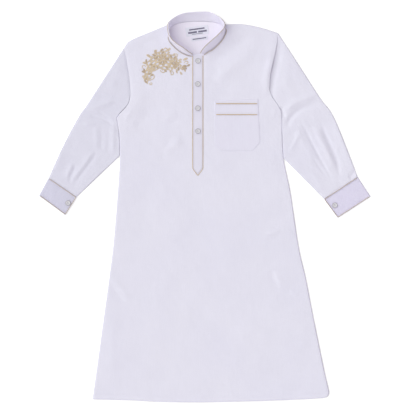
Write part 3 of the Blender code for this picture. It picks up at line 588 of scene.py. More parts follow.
def add_piece(name, points, faces, material, slot, replaces=(), bevel=0.0):
    """Adds a mesh piece that rides on the part, shaded smooth, with its edges rounded by a bevel when one is
    given.
    """
    mesh = bpy.data.meshes.new(name)
    mesh.from_pydata(placed(points).tolist(), [], [list(map(int, face)) for face in faces])
    mesh.validate()
    mesh.materials.append(material)
    piece = bpy.data.objects.new(name, mesh)
    bpy.context.scene.collection.objects.link(piece)
    mesh.shade_smooth()
    if bevel:
        rounded = piece.modifiers.new("rounded edges", "BEVEL")
        rounded.width = bevel * MM
        rounded.segments = 2
        rounded.limit_method = "ANGLE"
        rounded.angle_limit = BEVEL_FROM
    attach(piece, "root")
    if replaces:
        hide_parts(*replaces)
    return piece


def tree_of(points, faces):
    return BVHTree.FromPolygons([Vector(p) for p in points], [tuple(map(int, face)) for face in faces])


def resting_height(trees, x, y, reach=0.0):
    """Height of the highest cloth below a disc about x, y, or of the surface that the garment lies on."""
    spots = [(x, y)]
    if reach:
        turns = np.arange(8) * math.tau / 8
        spots += [(x + reach * math.cos(turn), y + reach * math.sin(turn)) for turn in turns]
    highest = 0.0
    for spot_x, spot_y in spots:
        for tree in trees:
            hit = tree.ray_cast(Vector((spot_x, spot_y, HIGH_ABOVE)), Vector((0.0, 0.0, -1.0)))[0]
            if hit is not None:
                highest = max(highest, hit.z)
    return highest


def laid_on(trees, plan, lift, reach=0.0):
    """The plan points raised to lie on the trees, lift above them."""
    spots = plan.reshape(-1, 2)
    heights = [resting_height(trees, x, y, reach) + lift for x, y in spots]
    return np.column_stack([spots, heights]).reshape(*plan.shape[:-1], 3)


def evened(line, width):
    """The line's heights smoothed over a few neighbours."""
    kernel = np.hanning(width + 2)[1:-1]
    kernel /= kernel.sum()
    padded = np.pad(line[:, 2], width // 2, mode="edge")
    level = line.copy()
    level[:, 2] = np.convolve(padded, kernel, mode="valid")[: len(line)]
    return level


def cord_path(trees, path, lift=CORD_RADIUS * CORD_SEAT):
    """The way of a cord that lies on the trees, without sudden steps."""
    return evened(laid_on(trees, path, lift, CORD_REACH), CORD_EASE)


def circles(along, sides):
    """Unit circles square to each of the directions, a point for each side."""
    side = unit(np.cross(along, (0.0, 0.0, 1.0)))
    lift = np.cross(side, along)
    turns = np.arange(sides) * math.tau / sides
    return np.cos(turns)[None, :, None] * side[:, None] + np.sin(turns)[None, :, None] * lift[:, None]


def closing_faces(rows, sides):
    """The two end faces of a tube of rings."""
    return [np.arange(sides)[::-1], (rows - 1) * sides + np.arange(sides)]


def add_piping(name, path, replaces, material, radius=CORD_RADIUS):
    """A satin cord of three strands laid round each other, with rounded ends."""
    path = spaced(path, CORD_STEP)
    run = run_lengths(path)
    turns = np.arange(CORD_SIDES) * math.tau / CORD_SIDES
    twist = run[:, None] * math.tau / CORD_LAY
    size = radius * (0.9 + 0.1 * np.cos(CORD_STRANDS * (turns[None] - twist)))
    size *= np.sqrt(np.clip(np.minimum(run, run[-1] - run) / radius, 0.05, 1))[:, None]
    rings = path[:, None] + size[..., None] * circles(unit(np.gradient(path, axis=0)), CORD_SIDES)
    faces = [*grid_faces(len(path), CORD_SIDES, closed=True), *closing_faces(len(path), CORD_SIDES)]
    return add_piece(name, rings.reshape(-1, 3), faces, material, "piping", replaces)


def add_threads(name, starts, ends, radius, rise, material, slot, steps=5, sides=5):
    """Short threads, each from its start to its end, arched by its rise and with narrow ends."""
    rise = np.broadcast_to(rise, (len(starts),))
    t = np.linspace(0, 1, steps)
    middle = starts[:, None] * (1 - t[None, :, None]) + ends[:, None] * t[None, :, None]
    middle[..., 2] += rise[:, None] * np.sin(math.pi * t)[None]
    size = radius * np.where((t == 0) | (t == 1), 0.45, 1.0)
    points = middle[:, :, None] + size[None, :, None, None] * circles(unit(ends - starts), sides)[:, None]
    one = grid_faces(steps, sides, closed=True)
    caps = closing_faces(steps, sides)
    faces = []
    for k in range(len(starts)):
        faces.extend(one + k * steps * sides)
        faces.extend(cap + k * steps * sides for cap in caps)
    return add_piece(name, points.reshape(-1, 3), faces, material, slot)


def add_stitches(name, *lines, pitch=STITCH_PITCH, length=STITCH_LENGTH):
    """A row of stitches along each line of 3-D points."""
    starts, ends = [], []
    for line in lines:
        run = run_lengths(line)
        at = np.arange(pitch / 2, run[-1] - length, pitch)
        for spots, extra in ((starts, 0.0), (ends, length)):
            spots.append(points_at(line, run, at + extra))
    starts, ends = np.vstack(starts), np.vstack(ends)
    return add_threads(name, starts, ends, STITCH_RADIUS, STITCH_RISE, SEWING_THREAD, "cloth")


# Materials
def fill(tree, node, settings):
    """Gives the node's inputs and properties their values. A value that is an output is linked."""
    for key, value in settings.items():
        if key not in node.inputs:
            setattr(node, key, value)
        elif isinstance(value, bpy.types.NodeSocket):
            tree.links.new(value, node.inputs[key])
        else:
            node.inputs[key].default_value = value


def new_material(name, colour, **settings):
    """A material with one shader that has these settings, its node tree and its shader."""
    material = bpy.data.materials.new(name)
    material.use_nodes = True
    shader = material.node_tree.nodes["Principled BSDF"]
    fill(material.node_tree, shader, {"Base Color": (*colour, 1.0), **settings})
    return material, material.node_tree, shader


def add_node(tree, kind, output=None, **settings):
    """Adds a node and gives back the output of that name, or the node itself."""
    node = tree.nodes.new(kind)
    fill(tree, node, settings)
    return node.outputs[output] if output else node


def millimetres(tree, turn=0.0):
    """The piece's own coordinates in millimetres, turned about Z."""
    place = add_node(tree, "ShaderNodeTexCoord", "Object")
    scale = (1 / MM, 1 / MM, 1 / MM)
    return add_node(tree, "ShaderNodeMapping", "Vector", Vector=place, Scale=scale, Rotation=(0, 0, turn))


def mottled(tree, vector, size, colour, other, sharp=0.5):
    """A colour that drifts between two, over patches of about this size in millimetres."""
    noise = add_node(
        tree, "ShaderNodeTexNoise", "Fac", Vector=vector, Scale=1 / size, Detail=3.0, Roughness=sharp
    )
    ends = {"A": (*colour, 1.0), "B": (*other, 1.0)}
    return add_node(tree, "ShaderNodeMix", "Result", data_type="RGBA", Factor=noise, **ends)


def wave(tree, vector, direction, pitch):
    """Ridges a pitch apart in millimetres. The texture's own period is a twentieth of a full turn."""
    scale = math.tau / 20 / pitch
    return add_node(tree, "ShaderNodeTexWave", "Fac", bands_direction=direction, Vector=vector, Scale=scale)


def bump(tree, height, strength, depth, under=None):
    """A normal raised by the height over a depth in millimetres, on top of another."""
    settings = {"Height": height, "Strength": strength, "Distance": depth * MM}
    if under:
        settings["Normal"] = under
    return add_node(tree, "ShaderNodeBump", "Normal", **settings)


def woven(name, colour, turn=0.0, pitch=0.55, relief=0.07, scatter=0.3):
    """Plain-woven cloth: warp and weft pass over each other by turns, with slubs and a faint cool drift."""
    material, tree, shader = new_material(name, colour, **CLOTH_SURFACE, **{"Subsurface Weight": scatter})
    vector = millimetres(tree, turn)
    over = add_node(
        tree, "ShaderNodeTexChecker", "Fac", Vector=vector, Scale=1 / pitch, Color1=WHITE, Color2=BLACK
    )
    warp, weft = wave(tree, vector, "X", pitch), wave(tree, vector, "Y", pitch)
    weave = add_node(tree, "ShaderNodeMix", "Result", data_type="FLOAT", Factor=over, A=warp, B=weft)
    drift = mottled(tree, vector, DRIFT_SIZE, colour, tuple(c * k for c, k in zip(colour, DRIFT)))
    slub = add_node(tree, "ShaderNodeMapping", "Vector", Vector=vector, Scale=SLUB_SCALE)
    streak = add_node(tree, "ShaderNodeTexNoise", "Fac", Vector=slub, Scale=1.0, Detail=2.0)
    shade = add_node(tree, "ShaderNodeMapRange", "Result", Value=streak, **SLUB_SHADES)
    tinted = add_node(tree, "ShaderNodeVectorMath", "Vector", operation="SCALE", Vector=drift, Scale=shade)
    crumple = add_node(
        tree, "ShaderNodeTexNoise", "Fac", Vector=vector, Scale=0.16, Detail=4.0, Roughness=0.55
    )
    normal = bump(tree, crumple, 0.35, 0.9, bump(tree, weave, 0.5, relief))
    fill(tree, shader, {"Base Color": tinted, "Normal": normal})
    return material


def satin_thread(name, colour, other, roughness=0.42):
    """Shiny twisted thread, a little uneven in colour."""
    sheen = {"Roughness": roughness, "Sheen Weight": 0.25, "Specular IOR Level": 0.6}
    material, tree, shader = new_material(name, colour, **sheen)
    vector = millimetres(tree, 0.6)
    ply = wave(tree, vector, "DIAGONAL", PLY_PITCH)
    patches = mottled(tree, vector, 6, colour, other, 0.7)
    fill(tree, shader, {"Base Color": patches, "Normal": bump(tree, ply, 0.4, 0.05)})
    return material


def pearl(name, colour, other):
    """Pearly button plastic with cloudy bands under a clear gloss."""
    gloss = {"Roughness": 0.25, "Coat Weight": 0.6, "Coat Roughness": 0.08}
    material, tree, shader = new_material(name, colour, **gloss)
    vector = millimetres(tree)
    scratch = add_node(tree, "ShaderNodeTexNoise", "Fac", Vector=vector, Scale=3.0, Detail=5.0)
    clouds = mottled(tree, vector, 2.6, colour, other, 0.6)
    fill(tree, shader, {"Base Color": clouds, "Normal": bump(tree, scratch, 0.12, 0.05)})
    return material


WHITE, BLACK = (1, 1, 1, 1), (0, 0, 0, 1)
CLOTH_SURFACE = {
    "Roughness": 0.85,
    "Sheen Weight": 0.15,
    "Sheen Roughness": 0.45,
    "Specular IOR Level": 0.3,
    "Subsurface Radius": (1.0, 1.0, 1.0),
    "Subsurface Scale": 2.0 * MM,
}
DRIFT_SIZE, DRIFT = 150, (0.93, 0.93, 0.965)
SLUB_SCALE = (1.6, 0.05, 1.0)
SLUB_SHADES = {"To Min": 0.955, "To Max": 1.03}
PLY_PITCH = 0.4
SLEEVE_GRAIN = {"right": math.radians(33), "left": math.radians(-34)}
FIRM = {"pitch": 0.62, "relief": 0.1}
LABEL_WEAVE = {"turn": math.radians(4), "pitch": 0.3, "relief": 0.03}

CLOTH = (0.842, 0.823, 0.942)
CLOTH_BODY = woven("cloth_body", CLOTH)
# The back panel's cloth is a lighter copy of the body cloth: painted light that lifts the shade inside the
# neck opening
CLOTH_BACK_PAINTED_LIGHT = woven("cloth_back", (0.94, 0.89, 1.0))
CLOTH_PLACKET = woven("cloth_placket", (0.778, 0.756, 0.857), scatter=0.0, **FIRM)
CLOTH_POCKET = woven("cloth_pocket", (0.80, 0.779, 0.884), scatter=0.0)
CLOTH_BAND = woven("cloth_band", (0.87, 0.84, 0.965), scatter=0.6, **FIRM)
CLOTH_SLEEVES = {
    side: woven(f"cloth_sleeve_{side}", colour, SLEEVE_GRAIN[side])
    for side, colour in (("right", (0.79, 0.776, 0.893)), ("left", CLOTH))
}
CLOTH_CUFFS = {
    side: woven(f"cloth_cuff_{side}", colour, SLEEVE_GRAIN[side], **FIRM)
    for side, colour in (("right", (0.70, 0.686, 0.81)), ("left", (0.772, 0.735, 0.891)))
}
PIPING_GOLD = satin_thread("piping_gold", (0.54, 0.40, 0.23), (0.62, 0.48, 0.31))
# The same gold cord as piping_gold, darkened and greyed: painted shade for the thin cords at the collar and
# cuffs
PIPING_GOLD_SHADED = satin_thread("piping_gold_shaded", (0.50, 0.42, 0.37), (0.58, 0.50, 0.45))
GOLD_LIGHT = satin_thread("embroidery_light", (0.70, 0.575, 0.41), (0.77, 0.655, 0.51), 0.36)
GOLD_DARK = satin_thread("embroidery_dark", (0.56, 0.43, 0.29), (0.63, 0.505, 0.37), 0.38)
SEWING_THREAD = satin_thread("sewing_thread", (0.79, 0.77, 0.885), (0.86, 0.84, 0.955), 0.6)
PEARL = pearl("button_pearl", (0.745, 0.735, 0.76), (0.58, 0.57, 0.605))
# The rim's darker pearl: partly the button's own smoky edge, partly painted shade for the shadow at the
# button's side
PEARL_RIM_SHADED = pearl("button_rim_shaded", (0.60, 0.575, 0.62), (0.38, 0.365, 0.41))
LABEL_SATIN = woven("label_satin", (0.86, 0.85, 0.95), **LABEL_WEAVE)
LABEL_BARS = woven("label_bars", (0.22, 0.21, 0.29), **LABEL_WEAVE)


# Borders that pieces share
side_right, side_left = smooth_line(SIDE_RIGHT), smooth_line(SIDE_LEFT)
underarm_right, underarm_left = smooth_line(UNDERARM_RIGHT), smooth_line(UNDERARM_LEFT)
armhole_right, armhole_left = smooth_line(ARMHOLE_RIGHT), smooth_line(ARMHOLE_LEFT)
hem = Border([smooth_line(HEM)], (0, 1))
side_knots = (0, UNDERARM_SHARE, ARMHOLE_SHARE, 1)
right_border = Border([side_right, underarm_right, armhole_right], side_knots)
left_border = Border([side_left, underarm_left, armhole_left], side_knots)
band_line = smooth_line(COLLAR, 12)


def front_neck():
    """The front neckline, just inside the band that stands on it, from the right shoulder to the left."""
    inside = moved_aside(band_line[:, :2], -(BAND_THICKNESS / 2 + NECK_CLEAR))
    behind = np.flatnonzero(inside[:, 1] > NECK_SIDE)
    left, right = inside[: behind[0] + 1], inside[behind[-1] + 1 :]
    # A line that turned back along X would fold the panel's columns over each other
    right[:, 0] = np.minimum.accumulate(right[::-1, 0])[::-1]
    left[:, 0] = np.maximum.accumulate(left[:, 0])
    right[:, 0] -= NECK_SPREAD * np.maximum(right[:, 1] - NECK_TURN, 0)
    left[:, 0] += NECK_SPREAD * np.maximum(left[:, 1] - NECK_TURN, 0)
    return np.vstack([SHOULDER_RIGHT[-1:], right, left, SHOULDER_LEFT[:1]])


def body_plan(neck, u, v):
    """Plan points of the front or back panel, whose neckline bends only the rows above NECK_REACH."""
    shoulders = smooth_line(SHOULDER_RIGHT), smooth_line(SHOULDER_LEFT)
    high = Border([shoulders[0], neck, shoulders[1]], (0, NECK_START, NECK_END, 1), NECK_WEIGHTS)
    plan = panel_plan(hem, high, right_border, left_border, u, v)
    corners = np.array([SHOULDER_RIGHT[-1], SHOULDER_LEFT[0]])
    top = high.at(u)
    notch = top[..., 1] - np.interp(top[..., 0], corners[:, 0], corners[:, 1])
    notch = np.where((u > NECK_START) & (u < NECK_END), notch, 0.0)
    plan[..., 1] += notch * (smoothstep((v - NECK_REACH) / (1 - NECK_REACH)) - v)
    # Below the neckline the columns run straight up, so that its steep ends fold none of them over
    beside = smoothstep(np.minimum(u - NECK_START, NECK_END - u) / NECK_SIDES + 1)
    upright = beside * smoothstep((v - NECK_REACH) / NECK_STRAIGHT)
    plan[..., 0] += (top[..., 0] - plan[..., 0]) * upright
    return plan


def edge_columns(roll_share, count):
    """Shares and turns of a panel's columns, which roll over at both its edges."""
    flat = np.linspace(roll_share, 1 - roll_share, count)
    shares = np.concatenate([np.zeros(len(ROLL)), flat, np.ones(len(ROLL))])
    turns = np.concatenate([ROLL, np.full(count, ROLL[-1]), ROLL[::-1]])
    return shares[None, :], turns[None, :]


def edge_radius(u, v):
    return BODY_EDGE + (BODY_EDGE_LEFT_HEM - BODY_EDGE) * smoothstep(1.4 * u - 0.4) * smoothstep(1 - v / 0.6)


def body_shell(neck, columns, row_step, top_side):
    """Outer and inner points of the front panel, or of the back panel when top_side is False."""
    near_hem = np.array(HEM_ROWS) / BODY_HEIGHT
    knots = (near_hem[-1], UNDERARM_SHARE, ARMHOLE_SHARE, 1)
    stretches = [
        np.linspace(start, end, round(span / row_step))[1:]
        for start, end, span in zip(knots, knots[1:], BODY_STRETCHES)
    ]
    levels = np.concatenate([near_hem, *stretches])[:-1]
    shares, turns = edge_columns(BODY_ROLL_SHARE, columns)
    rises = np.concatenate([np.full(len(levels), ROLL[-1]), ROLL[::-1]])[:, None]
    levels = np.concatenate([levels, np.ones(len(ROLL))])[:, None]
    closed_side = 1 - smoothstep((levels - UNDERARM_SHARE) / CLOSING_SHARE)
    on_neck = (shares > NECK_START - ON_EDGE) & (shares < NECK_END + ON_EDGE)
    closed_top = np.where(on_neck, 0.0, 1.0)
    width = np.linalg.norm(left_border.at(levels[:, 0]) - right_border.at(levels[:, 0]), axis=1)[:, None]
    radius = edge_radius(shares, levels)
    at_right, at_left, at_top = shares < ON_EDGE, shares > 1 - ON_EDGE, levels > 1 - ON_EDGE

    def grid(curve_radius):
        inset = radius - np.cos(turns) * (closed_side * curve_radius + (1 - closed_side) * radius)
        u = np.where(at_right, inset / width, np.where(at_left, 1 - inset / width, shares))
        drop = radius - np.cos(rises) * (closed_top * curve_radius + (1 - closed_top) * radius)
        v = np.where(at_top, 1 - drop / PANEL_SPAN, levels)
        plan = body_plan(neck, u, v)
        full_side = closed_side * np.sin(turns) + 1 - closed_side
        full_top = closed_top * np.sin(rises) + 1 - closed_top
        return plan, full_side * full_top

    outer_plan, full = grid(radius)
    inner_plan, _ = grid(radius - SHELL)
    half_gap = SEAM_GAP / 2
    if not top_side:
        outer_z = (radius - half_gap) * (1 - full)
        inner_z = radius - half_gap - (radius - SHELL - half_gap) * full
        return np.dstack([outer_plan, outer_z]), np.dstack([inner_plan, inner_z])
    from_hem = levels * BODY_HEIGHT
    hem_fold = sum(height * bell(from_hem - middle, width) for height, middle, width in HEM_DIPS)
    hem_fold = hem_fold + HEM_LIFT * (1 - smoothstep((from_hem - HEM_STITCH) / HEM_LIFT_FADE))
    folds = (crease_height(BODY_CREASES, outer_plan) + rumple(outer_plan, BODY_SEED) + hem_fold) * full
    near_seam = np.minimum(shares, 1 - shares) * width
    seam_dip = SEAM_DIP_BODY * bell(near_seam, SEAM_DIP_WIDTH) * (1 - closed_side)
    seam_dip = seam_dip * np.where(shares < 0.5, 1, SEAM_DIP_LEFT_SHARE)
    outer_z = radius + half_gap + (radius - half_gap) * full + folds - seam_dip
    inner_z = radius + half_gap + (radius - SHELL - half_gap) * full + folds - seam_dip
    return np.dstack([outer_plan, outer_z]), np.dstack([inner_plan, inner_z])


def sleeve_shell(name, lines, outward, columns, row_step):
    """Outer and inner rings of a sleeve, from the armhole to the cuff's seam."""
    cut = SLEEVES[name]
    side_line, underarm_line, armhole_line = lines
    whole = moved_aside(np.vstack([underarm_line, armhole_line[1:]]), outward * SEAM_GAP)
    underarm = whole[: len(underarm_line)][::-1]
    armhole = whole[len(underarm_line) - 1 :][::-1]
    beside = moved_aside(side_line, outward * (SEAM_GAP + SLEEVE_CLEAR))[::-1]
    beside = beside[beside[:, 1] > cut.leaves_body]
    beside[0] = underarm[-1]
    seam_outer, seam_inner = np.array(cut.seam_outer), np.array(cut.seam_inner)
    halfway = (beside[-1] + seam_inner) / 2
    low = Border([armhole], (0, 1))
    high = Border([np.array([seam_outer, seam_inner])], (0, 1))
    first = Border([smooth_line([armhole[0], *cut.outer, seam_outer])], (0, 1))
    free = smooth_line([beside[-1], halfway, seam_inner])
    last = Border([underarm, beside, free], (0, *SLEEVE_KNOTS, 1))
    count = round(SLEEVE_LENGTH / row_step)
    rows = np.linspace(SLEEVE_END_ROWS[-1], 1 - SLEEVE_END_ROWS[-1], count)
    rows = np.concatenate([SLEEVE_END_ROWS[:-1], rows, 1 - SLEEVE_END_ROWS[-2::-1]])[:, None]
    shares, turns = edge_columns(SLEEVE_ROLL_SHARE, columns)
    width = np.linalg.norm(last.at(rows[:, 0]) - first.at(rows[:, 0]), axis=1)[:, None]
    seam_dip = SEAM_DIP_SLEEVE * bell(np.minimum(rows, 1 - rows) * SLEEVE_LENGTH, SEAM_DIP_WIDTH)

    def ring(curve_radius):
        inset = SLEEVE_EDGE - np.cos(turns) * curve_radius
        u = np.where(shares > 1 - ON_EDGE, 1 - inset / width, shares)
        u = np.where(shares < ON_EDGE, inset / width, u)
        plan = panel_plan(low, high, first, last, u, np.broadcast_to(rows, u.shape))
        full = np.broadcast_to(np.sin(turns), u.shape)
        lift = crease_height(SLEEVE_CREASES[name], plan) + rumple(plan, SLEEVE_SEEDS[name])
        lift = np.maximum(lift - seam_dip, -2 * SLEEVE_EDGE + 2 * SHELL + SLEEVE_HOLLOW) * full
        top = np.dstack([plan, SLEEVE_EDGE + curve_radius * full + lift])
        bottom = np.dstack([plan, SLEEVE_EDGE - curve_radius * full])
        return np.concatenate([top, bottom[:, -2:0:-1]], axis=1)

    return ring(SLEEVE_EDGE), ring(SLEEVE_EDGE - SHELL)


# Body and sleeves
front_points, front_faces = shell_of(*body_shell(front_neck(), *FRONT_GRID, True))
back_points, back_faces = shell_of(*body_shell(smooth_line(BACK_NECK), *BACK_GRID, False))
cloth_front = add_piece("cloth_front", front_points, front_faces, CLOTH_BODY, "cloth", ["body_front"])
cloth_back = add_piece("cloth_back", back_points, back_faces, CLOTH_BACK_PAINTED_LIGHT, "cloth", ["body_back"])
front_tree, back_tree = tree_of(front_points, front_faces), tree_of(back_points, back_faces)

sleeve_lines = {
    "right": ((side_right, underarm_right, armhole_right), -1),
    "left": ((side_left, underarm_left, armhole_left), 1),
}
sleeve_trees = {}
for side, (lines, outward) in sleeve_lines.items():
    points, faces = tube_of(*sleeve_shell(side, lines, outward, *SLEEVE_GRID))
    name, replaced = f"cloth_sleeve_{side}", [f"sleeve_{side}"]
    sleeve = add_piece(name, points, faces, CLOTH_SLEEVES[side], "cloth", replaced)
    sleeve_trees[side] = tree_of(points, faces)


# Cuffs
def cuff_section():
    """The cuff's wrap as (share of the width, offset, height, crown) along the middle of its cloth."""
    low = CUFF_WALL / 2
    mid = low + CUFF_WALL + CUFF_GAP
    top = mid + CUFF_WALL + CUFF_GAP
    shares = np.linspace(1, 0.03, CUFF_COLUMNS)
    section = [(share, 0.0, top, math.sin(math.pi * share)) for share in shares]
    fold_radius = (top - low) / 2
    for turn in np.linspace(0, math.pi, CUFF_FOLD_STEPS[0]):
        offset = fold_radius + CUFF_WALL / 2 - fold_radius * math.sin(turn)
        section.append((0.0, offset, low + fold_radius * (1 + math.cos(turn)), 0.0))
    section += [(0.4, 0.0, low, 0.0), (0.7, 0.0, low, 0.0)]
    fold_radius = (mid - low) / 2
    for turn in np.linspace(0, math.pi, CUFF_FOLD_STEPS[1]):
        offset = -(fold_radius + CUFF_WALL / 2) + fold_radius * math.sin(turn)
        section.append((1.0, offset, low + fold_radius * (1 - math.cos(turn)), 0.0))
    section.append((1.0, -CUFF_UNDERLAP / 2, mid, 0.0))
    section.append((1.0, -CUFF_UNDERLAP, mid, 0.0))
    return section


def cuff_sheet(cut, seed):
    """Outer and inner points of a cuff's cloth, a row for each step from its seam to its end."""
    outer_rows, inner_rows = [], []
    for depth in np.linspace(0, 1, CUFF_ROWS):
        outer = np.array(cut.seam_outer) * (1 - depth) + np.array(cut.end_outer) * depth
        inner = np.array(cut.seam_inner) * (1 - depth) + np.array(cut.end_inner) * depth
        width = np.linalg.norm(inner - outer)
        section = np.array(cuff_section())
        plan = outer + (section[:, :1] * width + section[:, 1:2]) * (inner - outer) / width
        crown = CUFF_CROWN * (0.6 + 0.4 * math.sin(math.pi * depth))
        puff = section[:, 3] * (crown + CUFF_WAVE * ripple(plan, seed, CUFF_WAVELENGTH))
        across = np.column_stack([section[:, 0] * width + section[:, 1], section[:, 2] + puff])
        way = unit(np.gradient(across, axis=0))
        normal = np.column_stack([way[:, 1], -way[:, 0]]) * CUFF_WALL / 2
        for rows, side in ((outer_rows, across - normal), (inner_rows, across + normal)):
            plan = outer + side[:, :1] * (inner - outer) / width
            rows.append(np.column_stack([plan, np.maximum(side[:, 1], 0.0)]))
    return np.array(outer_rows), np.array(inner_rows)


def rounded_path(corners, radius):
    """A path along straight runs with round corners."""
    corners = np.array(corners, float)
    path = [corners[0]]
    for before, corner, after in zip(corners[:-2], corners[1:-1], corners[2:]):
        back = (before - corner) / np.linalg.norm(before - corner)
        on = (after - corner) / np.linalg.norm(after - corner)
        for t in np.linspace(0, 1, 7):
            path.append(corner + radius * ((1 - t) ** 2 * back + t**2 * on))
    path.append(corners[-1])
    return spaced(np.array(path), 1.0)


def add_button(name, x, y, trees, turn):
    """A round button with a raised rim and four holes, sewn on with crossed thread."""
    rest = resting_height(trees, x, y, BUTTON_RADIUS * BUTTON_SEAT) + BUTTON_LIFT
    floor = [(share, BUTTON_FLOOR) for share in np.linspace(0.6, 0.05, 12)]
    profile = np.array([*BUTTON_PROFILE, *floor])
    points = np.zeros((len(profile), BUTTON_SIDES, 3))
    points[..., :2] = polar(profile[:, :1] * BUTTON_RADIUS, np.arange(BUTTON_SIDES) * math.tau / BUTTON_SIDES)
    points[..., 2] = profile[:, 1:]
    holes = polar(BUTTON_HOLE_REACH, turn + np.arange(4) * math.pi / 2)
    dished = points[BUTTON_FLOOR_ROW:]
    for hole in holes:
        away = np.linalg.norm(dished[..., :2] - hole, axis=-1)
        dished[..., 2] -= BUTTON_HOLE_DEPTH * (1 - smoothstep((away - BUTTON_HOLE) / BUTTON_HOLE_EDGE))
    points += (x, y, rest)
    faces = [*grid_faces(len(profile), BUTTON_SIDES, closed=True)[:, ::-1]]
    faces.append((len(profile) - 1) * BUTTON_SIDES + np.arange(BUTTON_SIDES))
    button = add_piece(f"pearl_{name}", points.reshape(-1, 3), faces, PEARL, "button", [name])
    # The outer rows of the profile take the darker rim pearl: partly the rim's own tone, partly painted shade
    # at the button's edge
    button.data.materials.append(PEARL_RIM_SHADED)
    for face in button.data.polygons:
        if face.index < BUTTON_SHADED_RIM_ROWS * BUTTON_SIDES:
            face.material_index = 1
    spots = np.column_stack([holes + (x, y), np.full(len(holes), rest + BUTTON_THREAD_HEIGHT)])
    thread = BUTTON_THREAD, BUTTON_THREAD_RISE, SEWING_THREAD, "cloth"
    add_threads(f"{name}_thread", spots[:2], spots[2:], *thread, steps=7, sides=6)


def drawn_in(corners, from_fold, from_opening, from_ends):
    """A cuff's four corners moved inwards from its fold, its opening and both its ends."""
    across, depth = unit(np.array([corners[1] - corners[0], corners[3] - corners[0]]))
    near, far = across * from_fold, -across * from_opening
    start, end = depth * from_ends, -depth * from_ends
    return corners + np.array([near + start, far + start, far + end, near + end])


for side, cut in SLEEVES.items():
    points, faces = shell_of(*cuff_sheet(cut, CUFF_SEEDS[side]))
    name, replaced = f"cloth_cuff_{side}", [f"cuff_{side}"]
    cuff = add_piece(name, points, faces, CLOTH_CUFFS[side], "cloth", replaced, CUFF_BEVEL)
    tree = tree_of(points, faces)
    corners = np.array([cut.seam_outer, cut.seam_inner, cut.end_inner, cut.end_outer])
    border = drawn_in(corners, CUFF_PIPING_START, CUFF_PIPING_INSET, PIPING)
    path = cord_path([tree], rounded_path(border, CORNER_RADIUS))
    # The cuff's cord takes the darkened copy of the gold cord, painted shade
    add_piping(f"piping_cuff_{side}", path, [f"cuff_piping_{side}"], PIPING_GOLD_SHADED)
    inset = rounded_path(drawn_in(border, CUFF_STITCH_START, STITCH_INSET, STITCH_INSET), 2.0)
    add_stitches(f"stitches_cuff_{side}", evened(laid_on([tree], inset, STITCH_LIFT), 5))
    add_button(f"button_cuff_{side}", *CUFF_BUTTONS[side], [tree], 0.5)


# Collar
def add_collar():
    base, free_edge, rise = band_line[:, :2], band_line[:, 2:4], band_line[:, 4]
    half = BAND_THICKNESS / 2
    under = np.array([resting_height([front_tree, back_tree], x, y, half + 0.3) for x, y in base])
    near = (under[max(0, k - BAND_SEAT_REACH) : k + BAND_SEAT_REACH + 1] for k in range(len(under)))
    seat = np.array([heights.max() for heights in near]) + BAND_CLEAR
    seat = evened(np.column_stack([base, seat]), CORD_EASE)[:, 2] + BAND_CLEAR
    foot = np.column_stack([base, seat])
    edge = np.column_stack([free_edge, seat + rise])
    up = unit(edge - foot)
    hides_from = np.where(free_edge[:, 0] < 0, *BAND_HIDES_FROM)
    behind = smoothstep((free_edge[:, 1] - hides_from) / 12)[:, None]
    top = edge - up * (PIPING_SEAT + PIPING) * (1 - behind) + up * PIPING * 0.7 * behind
    across = unit(np.cross(np.gradient(foot, axis=0), top - foot))
    flat = unit(across * (1, 1, 0))
    outer, inner = [], []
    for level in COLLAR_LEVELS:
        point = foot * (1 - level) + top * level
        uneven = ripple(base + level * 9, BAND_SEED, BAND_WAVELENGTH)[:, None]
        bow = BAND_BOW * math.sin(math.pi * level) + BAND_WAVE * uneven * level
        normal = unit(flat * (1 - level) + across * level)
        past = max(0.0, (level - BAND_ROUND_FROM) / (1 - BAND_ROUND_FROM))
        thick = half * math.sqrt(max(0.08, 1 - past**2))
        outer.append(point + bow * across + thick * normal)
        inner.append(point + bow * across - thick * normal)
    outer, inner = np.stack(outer, axis=1), np.stack(inner, axis=1)
    band = add_piece("cloth_collar", *shell_of(outer, inner), CLOTH_BAND, "cloth", ["collar"])
    cord = edge + behind * (across * (half + PIPING * 0.8) - up * (PIPING + 1.4))
    # The collar's cords take the darkened copy of the gold cord, painted shade
    add_piping("piping_collar_top", cord, ["collar_piping_top"], PIPING_GOLD_SHADED)
    lean = np.maximum((up[:, :2] * flat[:, :2]).sum(axis=1), 0.0) / up[:, 2]
    sewn_in = smoothstep((base[:, 1] - hides_from) / 10) * smoothstep((BAND_BACK - base[:, 1]) / 4)
    aside = (half + PIPING_SEAT + PIPING) * np.hypot(1, lean) - BAND_SEAM_SHIFT * sewn_in
    plan = base + flat[:, :2] * aside[:, None]
    for _ in range(3):
        seam = laid_on([front_tree, back_tree], plan, PIPING * 0.9, PIPING)
        plan = base + flat[:, :2] * (aside + lean * np.maximum(seam[:, 2] - seat, 0))[:, None]
    seam[:, 2] = np.maximum(seam[:, 2] - BAND_SEAM_SINK * sewn_in, CORD_RADIUS)
    add_piping("piping_collar_seam", evened(seam, CORD_EASE), ["collar_piping_seam"], PIPING_GOLD_SHADED)
    for name, level in COLLAR_STITCH_LEVELS.items():
        line = outer[:, COLLAR_LEVELS.index(level)] + across * STITCH_LIFT
        add_stitches(f"stitches_collar_{name}", line)


# Flat pieces laid on the cloth
def strip_plan(low, high, levels):
    """Plan grid between two lines with a point for every column, which has a row for every level."""
    up = levels[:, None, None]
    return low * (1 - up) + high * up


